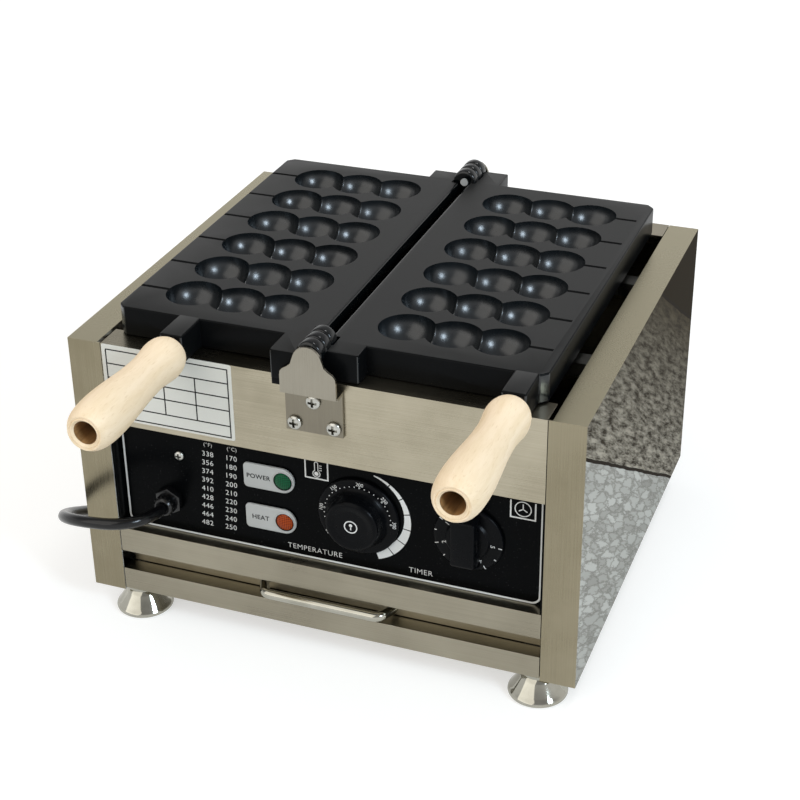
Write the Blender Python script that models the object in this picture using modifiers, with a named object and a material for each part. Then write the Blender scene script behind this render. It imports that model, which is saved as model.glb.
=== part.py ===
"""Rotary ball-waffle baker: a steel cabinet with two cast mould plates on one central hinge axis.

Metres, +Z up, front towards -Y. The origin is the centre of the footprint, on the surface the feet stand on.
Each plate turns over onto the other, a crumb drawer slides out below, and two knobs turn on the panel.
"""
import math

import bmesh
import bpy
from mathutils import Vector

# Cabinet
BODY_WIDTH = 0.360
BODY_DEPTH = 0.317
BODY_HEIGHT = 0.200
SHEET = 0.001
POST_WIDTH = 0.0245
RAIL_WIDTH = 0.022
RAIL_LIP = 0.012
UPPER_PANEL_HEIGHT = 0.061
TOP_FLANGE = 0.022
CONTROL_RECESS = 0.010
CONTROL_SHEET = 0.0015
LOWER_RAIL_HEIGHT = 0.0195
RAIL_RETURN = 0.010
SLOT_HEIGHT = 0.015
BOTTOM_RAIL_HEIGHT = 0.019
BOTTOM_RAIL_RETURN = 0.012

# Clearances
SEAT_GAP = 0.0003
PANEL_GAP = 0.0005
TRIM_STEP = 0.0004
OVERRUN = 0.002
WELD = 0.00001

# Feet
FOOT_HEIGHT = 0.022
FOOT_RIM_RADIUS = 0.0205
FOOT_NECK_RADIUS = 0.011
FOOT_COLLAR_RADIUS = 0.013
FOOT_INSET_X = 0.030
FOOT_INSET_Y = 0.0165
FOOT_PROFILE_SHARES = ((0.92, 0.0), (1.0, 0.06), (1.0, 0.14), (0.90, 0.27), (0.74, 0.50), (0.61, 0.70))
STUD_RADIUS = 0.004
STUD_LENGTH = 0.012
NUT_RADIUS = 0.0075
NUT_HEIGHT = 0.006

# Mould plates
PLATE_HEIGHT = 0.0212
PLATE_SETBACK = 0.016
CENTRE_GAP = 0.008
RAIL_CLEARANCE = 0.0085
MATING_GAP = 0.0005
DECK = 0.005
SKIRT = 0.005
ROWS = 6
ROW_PITCH = 0.04336
BALLS = 3
BALL_RADIUS = 0.019
BALL_PITCH = 0.032
BOWL_WALL = 0.0023
SKEWER_RADIUS = 0.0015
CORNER_CHAMFER = 0.002

# Hinge knuckles, lugs and pins
KNUCKLES = 3
KNUCKLE_RADIUS = 0.009
KNUCKLE_LENGTH = 0.009
KNUCKLE_GAP = 0.0004
TAB_CLEARANCE = 0.001
NOTCH_CLEARANCE = 0.0006
NOTCH_RUNOUT = 0.003
OUTER_LUG_WIDTH = 0.027
INNER_LUG_WIDTH = 0.030
LUG_DROP = 0.004
PIN_RADIUS = 0.003
PIN_CLEARANCE = 0.0004
PIN_PROUD = 0.001

# Hinge brackets
BRACKET_WIDTH = 0.040
BRACKET_HEIGHT = 0.0333
BRACKET_SHEET = 0.002
BRACKET_REACH = 0.011
LEDGE_DROP = 0.005
TAB_WIDTH = 0.0388
TAB_HEIGHT = 0.035
TAB_CROWN_RADIUS = 0.010
TAB_SHOULDER_SHARES = ((0.60, 0.62), (0.74, 0.555), (0.90, 0.50), (0.98, 0.44), (1.0, 0.36))
SCREW_HEAD_RADIUS = 0.005
SCREW_HEAD_HEIGHT = 0.0028
SCREW_RADIUS = 0.0022
SCREW_LENGTH = 0.008
SCREW_CLEARANCE = 0.0003
BRACKET_SCREW_SPREAD = 0.0137
BRACKET_SCREW_RISE = 0.0175
BRACKET_SCREW_INSET = 0.0061

# Handles
BOSS_WIDTH = 0.016
BOSS_REACH = 0.011
BOSS_BORE_DEPTH = 0.015
LEFT_HANDLE_INSET = 0.054
RIGHT_HANDLE_INSET = 0.0135
HANDLE_DROP = 0.012
ROD_RADIUS = 0.004
ROD_CLEARANCE = 0.0003
GRIP_LENGTH = 0.1125
GRIP_RADIUS = 0.016
GRIP_PROFILE_SHARES = (
    (0.56, 0.0), (0.76, 0.025), (0.88, 0.07), (0.91, 0.13), (0.85, 0.21), (0.81, 0.30), (0.84, 0.44),
    (0.92, 0.58), (0.99, 0.72), (1.0, 0.82), (0.97, 0.90), (0.88, 0.96), (0.72, 1.0),
)
GRIP_POCKET_RADIUS = 0.007
GRIP_POCKET_DEPTH = 0.024
HANDLE_NUT_RADIUS = 0.0062
HANDLE_NUT_HEIGHT = 0.005

# Heating chamber
ELEMENT_RADIUS = 0.004
ELEMENT_DROP = 0.0078
ELEMENT_LEGS = 4
ELEMENT_LEG_PITCH = 0.032
ELEMENT_FRONT_Y = 0.045
ELEMENT_TURN_Y = 0.062
ELEMENT_REAR_INSET = 0.027
ELEMENT_TAIL = 0.018
ELEMENT_BEND = 0.010
ELEMENT_CLEARANCE = 0.0004
SUPPORT_WIDTH = 0.015
SUPPORT_FOLD = 0.010
SUPPORT_DEPTH_SHARES = (0.3155, 0.7256)
CONTROL_BOX_DEPTH = 0.065

# Crumb drawer
TRAY_SIDE_GAP = 0.003
TRAY_SETBACK = 0.012
TRAY_REAR_GAP = 0.025
TRAY_CLEARANCE = 0.0007
RUNNER_WIDTH = 0.038
RUNNER_HEIGHT = 0.014
BOW_SPAN = 0.096
BOW_RADIUS = 0.0035
BOW_REACH = 0.016
BOW_TAPER = 0.006
BOW_BEND = 0.009
BOW_SCREW_HEAD = 0.0042

# Control panel fittings, with places across from the centre line or in from the posts, and heights as
# shares of the panel
TEMPERATURE_X = 0.0245
TIMER_INSET = 0.0530
KNOB_HEIGHT_SHARE = 0.5029
KNOB_GAP = 0.0005
KNOB_DEPTH = 0.016
KNOB_SKIRT = 0.003
TEMPERATURE_SKIRT_RADIUS = 0.0290
TEMPERATURE_CAP_FOOT = 0.0228
TEMPERATURE_CAP_RADIUS = 0.0188
TIMER_SKIRT_RADIUS = 0.0242
TIMER_HUB_RADIUS = 0.018
TIMER_GRIP_WIDTH = 0.017
TIMER_HUB_HEIGHT = 0.007
SHAFT_RADIUS = 0.003
SHAFT_CLEARANCE = 0.0006
SHAFT_ENGAGEMENT = 0.009
THERMOSTAT_RADIUS = 0.018
THERMOSTAT_DEPTH = 0.030
TIMER_BODY_SIZE = 0.046
TIMER_BODY_DEPTH = 0.038
PROBE_RADIUS = 0.0013
BULB_RADIUS = 0.003
BULB_LENGTH = 0.080
LAMP_X = -0.040
POWER_LAMP_HEIGHT_SHARE = 0.6959
HEAT_LAMP_HEIGHT_SHARE = 0.3158
LAMP_WIDTH = 0.0375
LAMP_HEIGHT = 0.019
LAMP_PLATE = 0.002
LAMP_BODY_WIDTH = 0.030
LAMP_BODY_HEIGHT = 0.014
LAMP_BODY_DEPTH = 0.022
LAMP_CLEARANCE = 0.0003
LENS_RADIUS = 0.0062
LENS_RISE = 0.0022
LENS_OFFSET = 0.0105
GLAND_INSET = 0.038
GLAND_HEIGHT_SHARE = 0.3099
GLAND_HEX_RADIUS = 0.0105
GLAND_HEX_LENGTH = 0.0055
GLAND_DOME_RADIUS = 0.0078
GLAND_DOME_LENGTH = 0.0085
GLAND_THREAD_RADIUS = 0.006
GLAND_THREAD_LENGTH = 0.012
LOCKNUT_HEIGHT = 0.004
BLOCK_INSET = 0.0475
BLOCK_HEIGHT_SHARE = 0.7427
BLOCK_WIDTH = 0.042
BLOCK_DEPTH = 0.020
BLOCK_HEIGHT = 0.016
PANEL_SCREW_HEAD = 0.0035

# Mains cord
CORD_RADIUS = 0.0041
CORD_STEP = 0.016
COIL_INSET = 0.070
COIL_BEHIND = 0.012
COIL_RADIUS = 0.052
COIL_PITCH = 0.0090
COIL_LAYER_RISE = 0.0087
COIL_TURNS = 4.25
COIL_CLIMB_TURNS = 0.5
COIL_POINTS_PER_TURN = 24
TIE_SHEET = 0.0012
TIE_WIDTH = 0.010
PLUG_WIDTH = 0.027
PLUG_HEIGHT = 0.0280
PLUG_LENGTH = 0.036
RELIEF_LENGTH = 0.031
RELIEF_RADIUS = 0.0065
PRONG_WIDTH = 0.0064
PRONG_THICKNESS = 0.0015
PRONG_LENGTH = 0.017
PRONG_SPACING = 0.0127
EARTH_RADIUS = 0.0024
EARTH_OFFSET = 0.0085
PLUG_CORNER = 0.003

# Facets
BALL_SEGMENTS = 16
BALL_STEPS = 5
BOWL_STEPS = 3
ROUND_SEGMENTS = 16
SMALL_SEGMENTS = 12
SCREW_SEGMENTS = 10
KNOB_SEGMENTS = 24

# Derived places
FRONT_REACH = BOSS_REACH + SEAT_GAP + GRIP_LENGTH
FRONT_Y = FRONT_REACH - (FRONT_REACH + BODY_DEPTH + BRACKET_REACH) / 2
REAR_Y = FRONT_Y + BODY_DEPTH
CENTRE_Y = (FRONT_Y + REAR_Y) / 2
HALF_WIDTH = BODY_WIDTH / 2
BASE_Z = FOOT_HEIGHT
TOP_Z = BASE_Z + BODY_HEIGHT
UPPER_PANEL_Z = TOP_Z - UPPER_PANEL_HEIGHT
SLOT_BOTTOM_Z = BASE_Z + BOTTOM_RAIL_HEIGHT
SLOT_TOP_Z = SLOT_BOTTOM_Z + SLOT_HEIGHT
CONTROL_Z = SLOT_TOP_Z + LOWER_RAIL_HEIGHT
CONTROL_HEIGHT = UPPER_PANEL_Z - CONTROL_Z
FRONT_HALF = HALF_WIDTH - POST_WIDTH - PANEL_GAP
RAIL_INNER_X = HALF_WIDTH - RAIL_WIDTH
BASE_PLATE_Z = BASE_Z + SHEET + SEAT_GAP
PLATE_BOTTOM_Z = TOP_Z + SEAT_GAP
PLATE_TOP_Z = PLATE_BOTTOM_Z + PLATE_HEIGHT
AXIS_Z = PLATE_TOP_Z + MATING_GAP / 2
PANEL_FACE_Y = FRONT_Y + CONTROL_RECESS
PANEL_BACK_Y = PANEL_FACE_Y + CONTROL_SHEET
KNOB_Z = CONTROL_Z + KNOB_HEIGHT_SHARE * CONTROL_HEIGHT
TIMER_X = FRONT_HALF - TIMER_INSET
POWER_LAMP_Z = CONTROL_Z + POWER_LAMP_HEIGHT_SHARE * CONTROL_HEIGHT
HEAT_LAMP_Z = CONTROL_Z + HEAT_LAMP_HEIGHT_SHARE * CONTROL_HEIGHT
GLAND_X = GLAND_INSET - FRONT_HALF
GLAND_Y = PANEL_FACE_Y - SEAT_GAP
GLAND_Z = CONTROL_Z + GLAND_HEIGHT_SHARE * CONTROL_HEIGHT
BLOCK_X = BLOCK_INSET - FRONT_HALF
BLOCK_Z = CONTROL_Z + BLOCK_HEIGHT_SHARE * CONTROL_HEIGHT
PLATE_OUTER_X = RAIL_INNER_X - RAIL_CLEARANCE
LEFT_HANDLE_X = PLATE_OUTER_X - LEFT_HANDLE_INSET
RIGHT_HANDLE_X = PLATE_OUTER_X - RIGHT_HANDLE_INSET
HANDLE_Z = PLATE_TOP_Z - HANDLE_DROP
TRAY_TOP_Z = SLOT_TOP_Z - TRAY_CLEARANCE
TRAY_BOTTOM_Z = SLOT_BOTTOM_Z + TRAY_CLEARANCE
TRAY_FRONT_Y = FRONT_Y + TRAY_SETBACK
TRAY_REAR_Y = REAR_Y - TRAY_REAR_GAP
ELEMENT_Z = TOP_Z - ELEMENT_DROP
SUPPORT_TOP_Z = ELEMENT_Z - ELEMENT_RADIUS - SEAT_GAP
SUPPORT_PLACES = [FRONT_Y + BODY_DEPTH * share for share in SUPPORT_DEPTH_SHARES]
CONTROL_BOX_TOP_Z = UPPER_PANEL_Z - SEAT_GAP
CONTROL_BOX_REAR_Y = PANEL_BACK_Y + SEAT_GAP + CONTROL_BOX_DEPTH
COIL_X = COIL_INSET - HALF_WIDTH
COIL_Y = REAR_Y + BRACKET_REACH + COIL_BEHIND + COIL_RADIUS + CORD_RADIUS
COIL_Z = CORD_RADIUS + SEAT_GAP + TIE_SHEET + SEAT_GAP
FACING_FRONT = (math.pi / 2, 0, 0)
FACING_REAR = (-math.pi / 2, 0, 0)

# The free cord from the gland, round the left front corner, down to the floor and back to the coil. Each
# point is its distance in from the cabinet's left side, its share of the way back from the gland to the
# coil, and its share of the gland's height over the cord on the floor.
CORD_ROUTE = (
    (0.0615, -0.0258, 1.0072), (0.0578, -0.0505, 1.0153), (0.0510, -0.0683, 1.0204),
    (0.0425, -0.0798, 1.0204), (0.0325, -0.0836, 1.0133), (0.0200, -0.0811, 0.9949),
    (0.0080, -0.0709, 0.9612), (-0.0025, -0.0518, 0.9101), (-0.0105, -0.0237, 0.8417),
    (-0.0153, 0.0107, 0.7620), (-0.0175, 0.0515, 0.6701), (-0.0180, 0.0961, 0.5710),
    (-0.0178, 0.1420, 0.4709), (-0.0174, 0.1892, 0.3718), (-0.0170, 0.2376, 0.2778),
    (-0.0165, 0.2874, 0.1931), (-0.0160, 0.3396, 0.1216), (-0.0155, 0.3944, 0.0654),
    (-0.0150, 0.4531, 0.0276), (-0.0143, 0.5168, 0.0092), (-0.0135, 0.5857, 0.0041),
    (-0.0122, 0.6571, 0.0041), (-0.0095, 0.7259, 0.0061), (-0.0050, 0.7922, 0.0092),
    (0.0015, 0.8534, 0.0133), (0.0095, 0.9146, 0.0163),
)


def remove_scene_objects():
    """Empty the scene that the script starts in."""
    for item in list(bpy.data.objects):
        bpy.data.objects.remove(item, do_unlink=True)


def new_collection(name):
    """Make a collection in the scene."""
    group = bpy.data.collections.new(name)
    bpy.context.scene.collection.children.link(group)
    return group


remove_scene_objects()
PARTS = new_collection("waffle_maker")
CUTTERS = new_collection("cutters")


def material(name, colour, roughness, metallic=0.0):
    """Make a Principled material, or return the one of that name."""
    found = bpy.data.materials.get(name)
    if found:
        return found
    made = bpy.data.materials.new(name)
    made.use_nodes = True
    shader = made.node_tree.nodes["Principled BSDF"]
    shader.inputs["Base Color"].default_value = (*colour, 1.0)
    shader.inputs["Roughness"].default_value = roughness
    shader.inputs["Metallic"].default_value = metallic
    made.diffuse_color = (*colour, 1.0)
    return made


STAINLESS = material("brushed_stainless", (0.55, 0.53, 0.48), 0.32, 1.0)
CHROME = material("bright_chrome", (0.75, 0.75, 0.74), 0.12, 1.0)
ZINC = material("zinc_plated_steel", (0.60, 0.61, 0.62), 0.35, 1.0)
NON_STICK = material("non_stick_cast_aluminium", (0.045, 0.045, 0.045), 0.42)
BEECH = material("turned_beech", (0.80, 0.62, 0.42), 0.60)
BLACK_PAINT = material("black_painted_steel", (0.012, 0.012, 0.014), 0.35)
BLACK_PLASTIC = material("black_plastic", (0.015, 0.015, 0.016), 0.38)
PALE_PLASTIC = material("pale_lamp_plastic", (0.62, 0.63, 0.63), 0.45)
GREEN_LENS = material("green_lens", (0.0, 0.12, 0.05), 0.15)
ORANGE_LENS = material("orange_lens", (0.60, 0.09, 0.01), 0.15)
HEATER_STEEL = material("heater_sheath", (0.16, 0.14, 0.12), 0.5, 1.0)
BLACK_RUBBER = material("black_cord_sheath", (0.010, 0.010, 0.011), 0.4)


def keep(item, finish):
    """Put a finished piece in the parts collection, shaded smooth across its shallow edges."""
    PARTS.objects.link(item)
    item.data.materials.clear()
    item.data.materials.append(finish)
    if item.type == "MESH":
        item.data.shade_smooth()
        item.data.set_sharp_from_angle(angle=math.radians(35))
    return item


def guide(item):
    """Put a shape that only cuts or joins in the cutters collection, as a wire outline."""
    CUTTERS.objects.link(item)
    item.hide_render = True
    item.display_type = "WIRE"
    return item


def mesh_object(name, shape):
    """Turn a bmesh into an object that is not yet in a collection."""
    mesh = bpy.data.meshes.new(name)
    bmesh.ops.recalc_face_normals(shape, faces=shape.faces)
    shape.to_mesh(mesh)
    shape.free()
    return bpy.data.objects.new(name, mesh)


def block(name, low, high):
    """A box between two corners."""
    low, high = Vector(low), Vector(high)
    shape = bmesh.new()
    bmesh.ops.create_cube(shape, size=1.0)
    bmesh.ops.scale(shape, vec=high - low, verts=shape.verts)
    bmesh.ops.translate(shape, vec=(low + high) / 2, verts=shape.verts)
    return mesh_object(name, shape)


def folded(name, low, high, open_sides, thickness):
    """A box folded from sheet that lacks the sides named, such as '-x' or '+z'."""
    item = block(name, low, high)
    shape = bmesh.new()
    shape.from_mesh(item.data)
    missing = []
    for face in shape.faces:
        for side in open_sides:
            axis = "xyz".index(side[1])
            sign = 1 if side[0] == "+" else -1
            if face.normal[axis] * sign > 0.9:
                missing.append(face)
    bmesh.ops.delete(shape, geom=missing, context="FACES")
    shape.to_mesh(item.data)
    shape.free()
    wall = item.modifiers.new("sheet", "SOLIDIFY")
    wall.thickness = thickness
    wall.offset = -1
    wall.use_even_offset = True
    return item


def turned(name, profile, segments=ROUND_SEGMENTS, closed=False):
    """A solid turned about Z from a profile of (radius, height) that runs down its outer side.

    A closed profile is a ring's section, which lies clear of the axis.
    """
    mesh = bpy.data.meshes.new(name)
    points = [(radius, 0, height) for radius, height in profile]
    edges = [(index, index + 1) for index in range(len(points) - 1)]
    if closed:
        edges.append((len(points) - 1, 0))
    mesh.from_pydata(points, edges, [])
    item = bpy.data.objects.new(name, mesh)
    lathe = item.modifiers.new("lathe", "SCREW")
    lathe.angle = math.tau
    lathe.steps = segments
    lathe.render_steps = segments
    lathe.use_merge_vertices = True
    lathe.merge_threshold = WELD
    lathe.use_smooth_shade = True
    return item


def rod(name, radius, low, high, segments=SMALL_SEGMENTS):
    """A plain cylinder about Z between two heights."""
    shape = bmesh.new()
    bmesh.ops.create_cone(shape, cap_ends=True, segments=segments, radius1=radius, radius2=radius,
                          depth=high - low)
    bmesh.ops.translate(shape, vec=(0, 0, (low + high) / 2), verts=shape.verts)
    return mesh_object(name, shape)


def tube(name, points, radius, resolution=2, shares=None):
    """A round tube along points, whose radius may follow shares of the full one."""
    curve = bpy.data.curves.new(name, "CURVE")
    curve.dimensions = "3D"
    curve.bevel_depth = radius
    curve.bevel_resolution = resolution
    curve.use_fill_caps = True
    line = curve.splines.new("POLY")
    line.points.add(len(points) - 1)
    for index, point in enumerate(points):
        line.points[index].co = (*point, 1.0)
        if shares:
            line.points[index].radius = shares[index]
    return bpy.data.objects.new(name, curve)


def as_mesh(drawn):
    """Turn a curve object into a welded mesh object of the same name and place."""
    name = drawn.name
    bpy.context.scene.collection.objects.link(drawn)
    bpy.context.view_layer.update()
    seen = drawn.evaluated_get(bpy.context.evaluated_depsgraph_get())
    mesh = bpy.data.meshes.new_from_object(seen)
    world = drawn.matrix_world.copy()
    bpy.data.objects.remove(drawn)
    shape = bmesh.new()
    shape.from_mesh(mesh)
    bmesh.ops.remove_doubles(shape, verts=shape.verts, dist=WELD)
    item = mesh_object(name, shape)
    item.matrix_world = world
    return item


def flat_piece(name, outline, thickness):
    """A flat plate with a closed outline in XY, centred on Z, as a welded mesh."""
    curve = bpy.data.curves.new(name, "CURVE")
    curve.dimensions = "2D"
    curve.fill_mode = "BOTH"
    curve.extrude = thickness / 2
    line = curve.splines.new("POLY")
    line.points.add(len(outline) - 1)
    line.use_cyclic_u = True
    for index, (across, up) in enumerate(outline):
        line.points[index].co = (across, up, 0, 1.0)
    return as_mesh(bpy.data.objects.new(name, curve))


def combine(item, other, operation):
    """Add an exact Boolean of another shape, which becomes a guide."""
    step = item.modifiers.new(operation.lower(), "BOOLEAN")
    step.solver = "EXACT"
    step.operation = operation
    step.object = guide(other)
    return item


def cut(item, *others):
    """Cut shapes out of a piece."""
    for other in others:
        combine(item, other, "DIFFERENCE")
    return item


def fuse(item, *others):
    """Join shapes to a piece."""
    for other in others:
        combine(item, other, "UNION")
    return item


def place(item, location, rotation=(0, 0, 0)):
    """Set a shape's place and turn."""
    item.location = location
    item.rotation_euler = rotation
    return item


def rounded_path(points, radius, steps=3):
    """Points along a path of straight runs whose corners are arcs."""
    corners = [Vector(point) for point in points]
    path = [corners[0]]
    for before, corner, after in zip(corners, corners[1:], corners[2:]):
        to_before = (before - corner).normalized()
        to_after = (after - corner).normalized()
        opening = to_before.angle(to_after)
        tangent = radius / math.tan(opening / 2)
        centre = corner + (to_before + to_after).normalized() * radius / math.sin(opening / 2)
        start = corner + to_before * tangent - centre
        end = corner + to_after * tangent - centre
        sweep = math.pi - opening
        for step in range(steps + 1):
            share = step / steps
            weight_start = math.sin((1 - share) * sweep) / math.sin(sweep)
            weight_end = math.sin(share * sweep) / math.sin(sweep)
            path.append(centre + start * weight_start + end * weight_end)
    path.append(corners[-1])
    return path


def smooth_route(points, step):
    """Points at an even step along a smooth curve through a route's own points."""
    knots = [Vector(point) for point in points]
    knots = [knots[0] * 2 - knots[1], *knots, knots[-1] * 2 - knots[-2]]
    fine = []
    for first, start, end, last in zip(knots, knots[1:], knots[2:], knots[3:]):
        for part in range(8):
            share = part / 8
            fine.append((start * 2 + (end - first) * share
                         + (first * 2 - start * 5 + end * 4 - last) * share ** 2
                         + (start * 3 - first - end * 3 + last) * share ** 3) / 2)
    fine.append(knots[-2])
    total = sum((after - before).length for before, after in zip(fine, fine[1:]))
    count = max(2, round(total / step))
    wanted = total / count
    path = [fine[0]]
    walked = 0.0
    for before, after in zip(fine, fine[1:]):
        length = (after - before).length
        while walked + length >= wanted * len(path) and len(path) < count:
            share = (wanted * len(path) - walked) / length
            path.append(before.lerp(after, share))
        walked += length
    path.append(fine[-1])
    return path


def path_length(points):
    """The length of a path."""
    return sum((Vector(after) - Vector(before)).length for before, after in zip(points, points[1:]))


def side_panel(name, side):
    """A side of the cabinet: outer wall, front post flange, top rail with its lip and a bottom flange."""
    inner = HALF_WIDTH - POST_WIDTH
    lows = (min(side * inner, side * HALF_WIDTH), FRONT_Y, BASE_Z)
    highs = (max(side * inner, side * HALF_WIDTH), REAR_Y, TOP_Z)
    open_inner = "-x" if side > 0 else "+x"
    panel = folded(name, lows, highs, (open_inner, "+y"), SHEET)
    spare = sorted((side * (inner - OVERRUN), side * RAIL_INNER_X))
    cut(panel, block("rail_trim", (spare[0], FRONT_Y + SHEET, TOP_Z - SHEET - OVERRUN),
                     (spare[1], REAR_Y + OVERRUN, TOP_Z + OVERRUN)))
    lip = sorted((side * (RAIL_INNER_X + TRIM_STEP / 4), side * (RAIL_INNER_X + SHEET)))
    fuse(panel, block("rail_lip", (lip[0], FRONT_Y + SHEET / 2, TOP_Z - RAIL_LIP),
                      (lip[1], REAR_Y - TOP_FLANGE - PANEL_GAP, TOP_Z - SHEET / 2)))
    keep(panel, STAINLESS)


def rear_panel():
    """The back wall between the side panels, with a top strip that carries the plates' rear skirts."""
    half = HALF_WIDTH - SHEET - SEAT_GAP
    panel = folded("rear_panel", (-half, REAR_Y - TOP_FLANGE, BASE_PLATE_Z), (half, REAR_Y, TOP_Z),
                   ("-y", "-z", "-x", "+x"), SHEET)
    strip_half = RAIL_INNER_X - PANEL_GAP
    for side in (-1, 1):
        ends = sorted((side * strip_half, side * (half + OVERRUN)))
        cut(panel, block("strip_end", (ends[0], REAR_Y - TOP_FLANGE - OVERRUN, TOP_Z - SHEET - SEAT_GAP),
                         (ends[1], REAR_Y + OVERRUN, TOP_Z + OVERRUN)))
    for across, height in bracket_screw_places():
        hole = rod("rear_screw_hole", SCREW_RADIUS + SCREW_CLEARANCE, -SHEET * 2, SHEET * 2)
        cut(panel, place(hole, (across, REAR_Y, height), FACING_REAR))
    keep(panel, STAINLESS)


def front_upper_panel():
    """The plain upper front, flush with the posts, whose top flange carries the plates' front skirts."""
    panel = folded("front_upper_panel", (-FRONT_HALF, FRONT_Y, UPPER_PANEL_Z),
                   (FRONT_HALF, FRONT_Y + TOP_FLANGE, TOP_Z), ("+y", "-x", "+x"), SHEET)
    for across, height in bracket_screw_places():
        hole = rod("front_screw_hole", SCREW_RADIUS + SCREW_CLEARANCE, -SHEET * 2, SHEET * 2)
        cut(panel, place(hole, (across, FRONT_Y, height), FACING_FRONT))
    keep(panel, STAINLESS)


def front_rails():
    """The strips above and below the drawer slot."""
    lower = folded("lower_front_rail", (-FRONT_HALF, FRONT_Y, SLOT_TOP_Z),
                   (FRONT_HALF, FRONT_Y + RAIL_RETURN, CONTROL_Z), ("+y", "-x", "+x"), SHEET)
    keep(lower, STAINLESS)
    bottom = folded("bottom_front_rail", (-FRONT_HALF, FRONT_Y, BASE_PLATE_Z + TRIM_STEP),
                    (FRONT_HALF, FRONT_Y + BOTTOM_RAIL_RETURN, SLOT_BOTTOM_Z),
                    ("+y", "-z", "-x", "+x"), SHEET)
    keep(bottom, STAINLESS)


def control_panel():
    """The black panel set back between the posts, with its side walls folded to the front."""
    half = FRONT_HALF + PANEL_GAP - SEAT_GAP
    low = (-half, FRONT_Y + SHEET + SEAT_GAP, CONTROL_Z + SEAT_GAP)
    high = (half, PANEL_BACK_Y, UPPER_PANEL_Z - SEAT_GAP)
    panel = folded("control_panel", low, high, ("-y", "+z", "-z"), CONTROL_SHEET)
    for across in (TEMPERATURE_X, TIMER_X):
        hole = rod("shaft_hole", SHAFT_RADIUS + SHAFT_CLEARANCE, -OVERRUN, CONTROL_SHEET + OVERRUN)
        cut(panel, place(hole, (across, PANEL_FACE_Y, KNOB_Z), FACING_REAR))
    for height in (POWER_LAMP_Z, HEAT_LAMP_Z):
        across = LAMP_BODY_WIDTH / 2 + LAMP_CLEARANCE
        up = LAMP_BODY_HEIGHT / 2 + LAMP_CLEARANCE
        cut(panel, block("lamp_cutout", (LAMP_X - across, PANEL_FACE_Y - OVERRUN, height - up),
                         (LAMP_X + across, PANEL_BACK_Y + OVERRUN, height + up)))
    gland = rod("gland_hole", GLAND_THREAD_RADIUS + SEAT_GAP, -OVERRUN, CONTROL_SHEET + OVERRUN)
    cut(panel, place(gland, (GLAND_X, PANEL_FACE_Y, GLAND_Z), FACING_REAR))
    screw = rod("block_screw_hole", SCREW_RADIUS + SCREW_CLEARANCE, -OVERRUN, CONTROL_SHEET + OVERRUN)
    cut(panel, place(screw, (BLOCK_X, PANEL_FACE_Y, BLOCK_Z), FACING_REAR))
    keep(panel, BLACK_PAINT)


def base_plate():
    """The bottom sheet, which lies on the side panels' flanges and takes the feet."""
    inset = SHEET + SEAT_GAP
    plate = block("base_plate", (-HALF_WIDTH + inset, FRONT_Y + inset, BASE_PLATE_Z),
                  (HALF_WIDTH - inset, REAR_Y - inset, BASE_PLATE_Z + SHEET))
    for across, along in foot_places():
        hole = rod("stud_hole", STUD_RADIUS + SEAT_GAP, -OVERRUN, OVERRUN)
        cut(plate, place(hole, (across, along, BASE_PLATE_Z)))
    keep(plate, STAINLESS)


def control_box():
    """The folded box that keeps heat and drips off the electrics."""
    half = FRONT_HALF - PANEL_GAP
    box = folded("control_box", (-half, PANEL_BACK_Y + SEAT_GAP, CONTROL_Z + SEAT_GAP),
                 (half, CONTROL_BOX_REAR_Y, CONTROL_BOX_TOP_Z), ("-y",), SHEET)
    reach = ELEMENT_CLEARANCE + ELEMENT_RADIUS
    for side in (-1, 1):
        for across in element_leg_places(side)[::ELEMENT_LEGS - 1]:
            hole = rod("element_hole", reach, -OVERRUN, OVERRUN)
            cut(box, place(hole, (across, FRONT_Y + ELEMENT_FRONT_Y, CONTROL_BOX_TOP_Z - SHEET / 2)))
    probe = rod("probe_hole", PROBE_RADIUS + ELEMENT_CLEARANCE, -OVERRUN, OVERRUN)
    cut(box, place(probe, (0, FRONT_Y + ELEMENT_FRONT_Y, CONTROL_BOX_TOP_Z - SHEET / 2)))
    keep(box, ZINC)


def foot_places():
    """The four feet's centres."""
    across = HALF_WIDTH - FOOT_INSET_X
    return [(side * across, along) for side in (-1, 1)
            for along in (FRONT_Y + FOOT_INSET_Y, REAR_Y - FOOT_INSET_Y)]


def feet():
    """Flared chrome feet, each one solid with its stud and the nut on it inside the cabinet."""
    names = ("foot_front_left", "foot_rear_left", "foot_front_right", "foot_rear_right")
    collar_z = FOOT_HEIGHT - SEAT_GAP
    flare = [(FOOT_RIM_RADIUS * wide, FOOT_HEIGHT * up) for wide, up in FOOT_PROFILE_SHARES]
    top = [(0, collar_z + STUD_LENGTH), (STUD_RADIUS, collar_z + STUD_LENGTH), (STUD_RADIUS, collar_z),
           (FOOT_COLLAR_RADIUS, collar_z), (FOOT_COLLAR_RADIUS, collar_z - NUT_HEIGHT / 4),
           (FOOT_NECK_RADIUS, collar_z - NUT_HEIGHT / 2)]
    profile = top + flare[::-1] + [(0, 0)]
    nut_z = BASE_PLATE_Z + SHEET + SEAT_GAP
    for name, (across, along) in zip(names, foot_places()):
        foot = place(turned(name, profile), (across, along, 0))
        fuse(foot, place(rod("foot_nut", NUT_RADIUS, 0, NUT_HEIGHT, 6), (across, along, nut_z)))
        keep(foot, CHROME)


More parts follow.
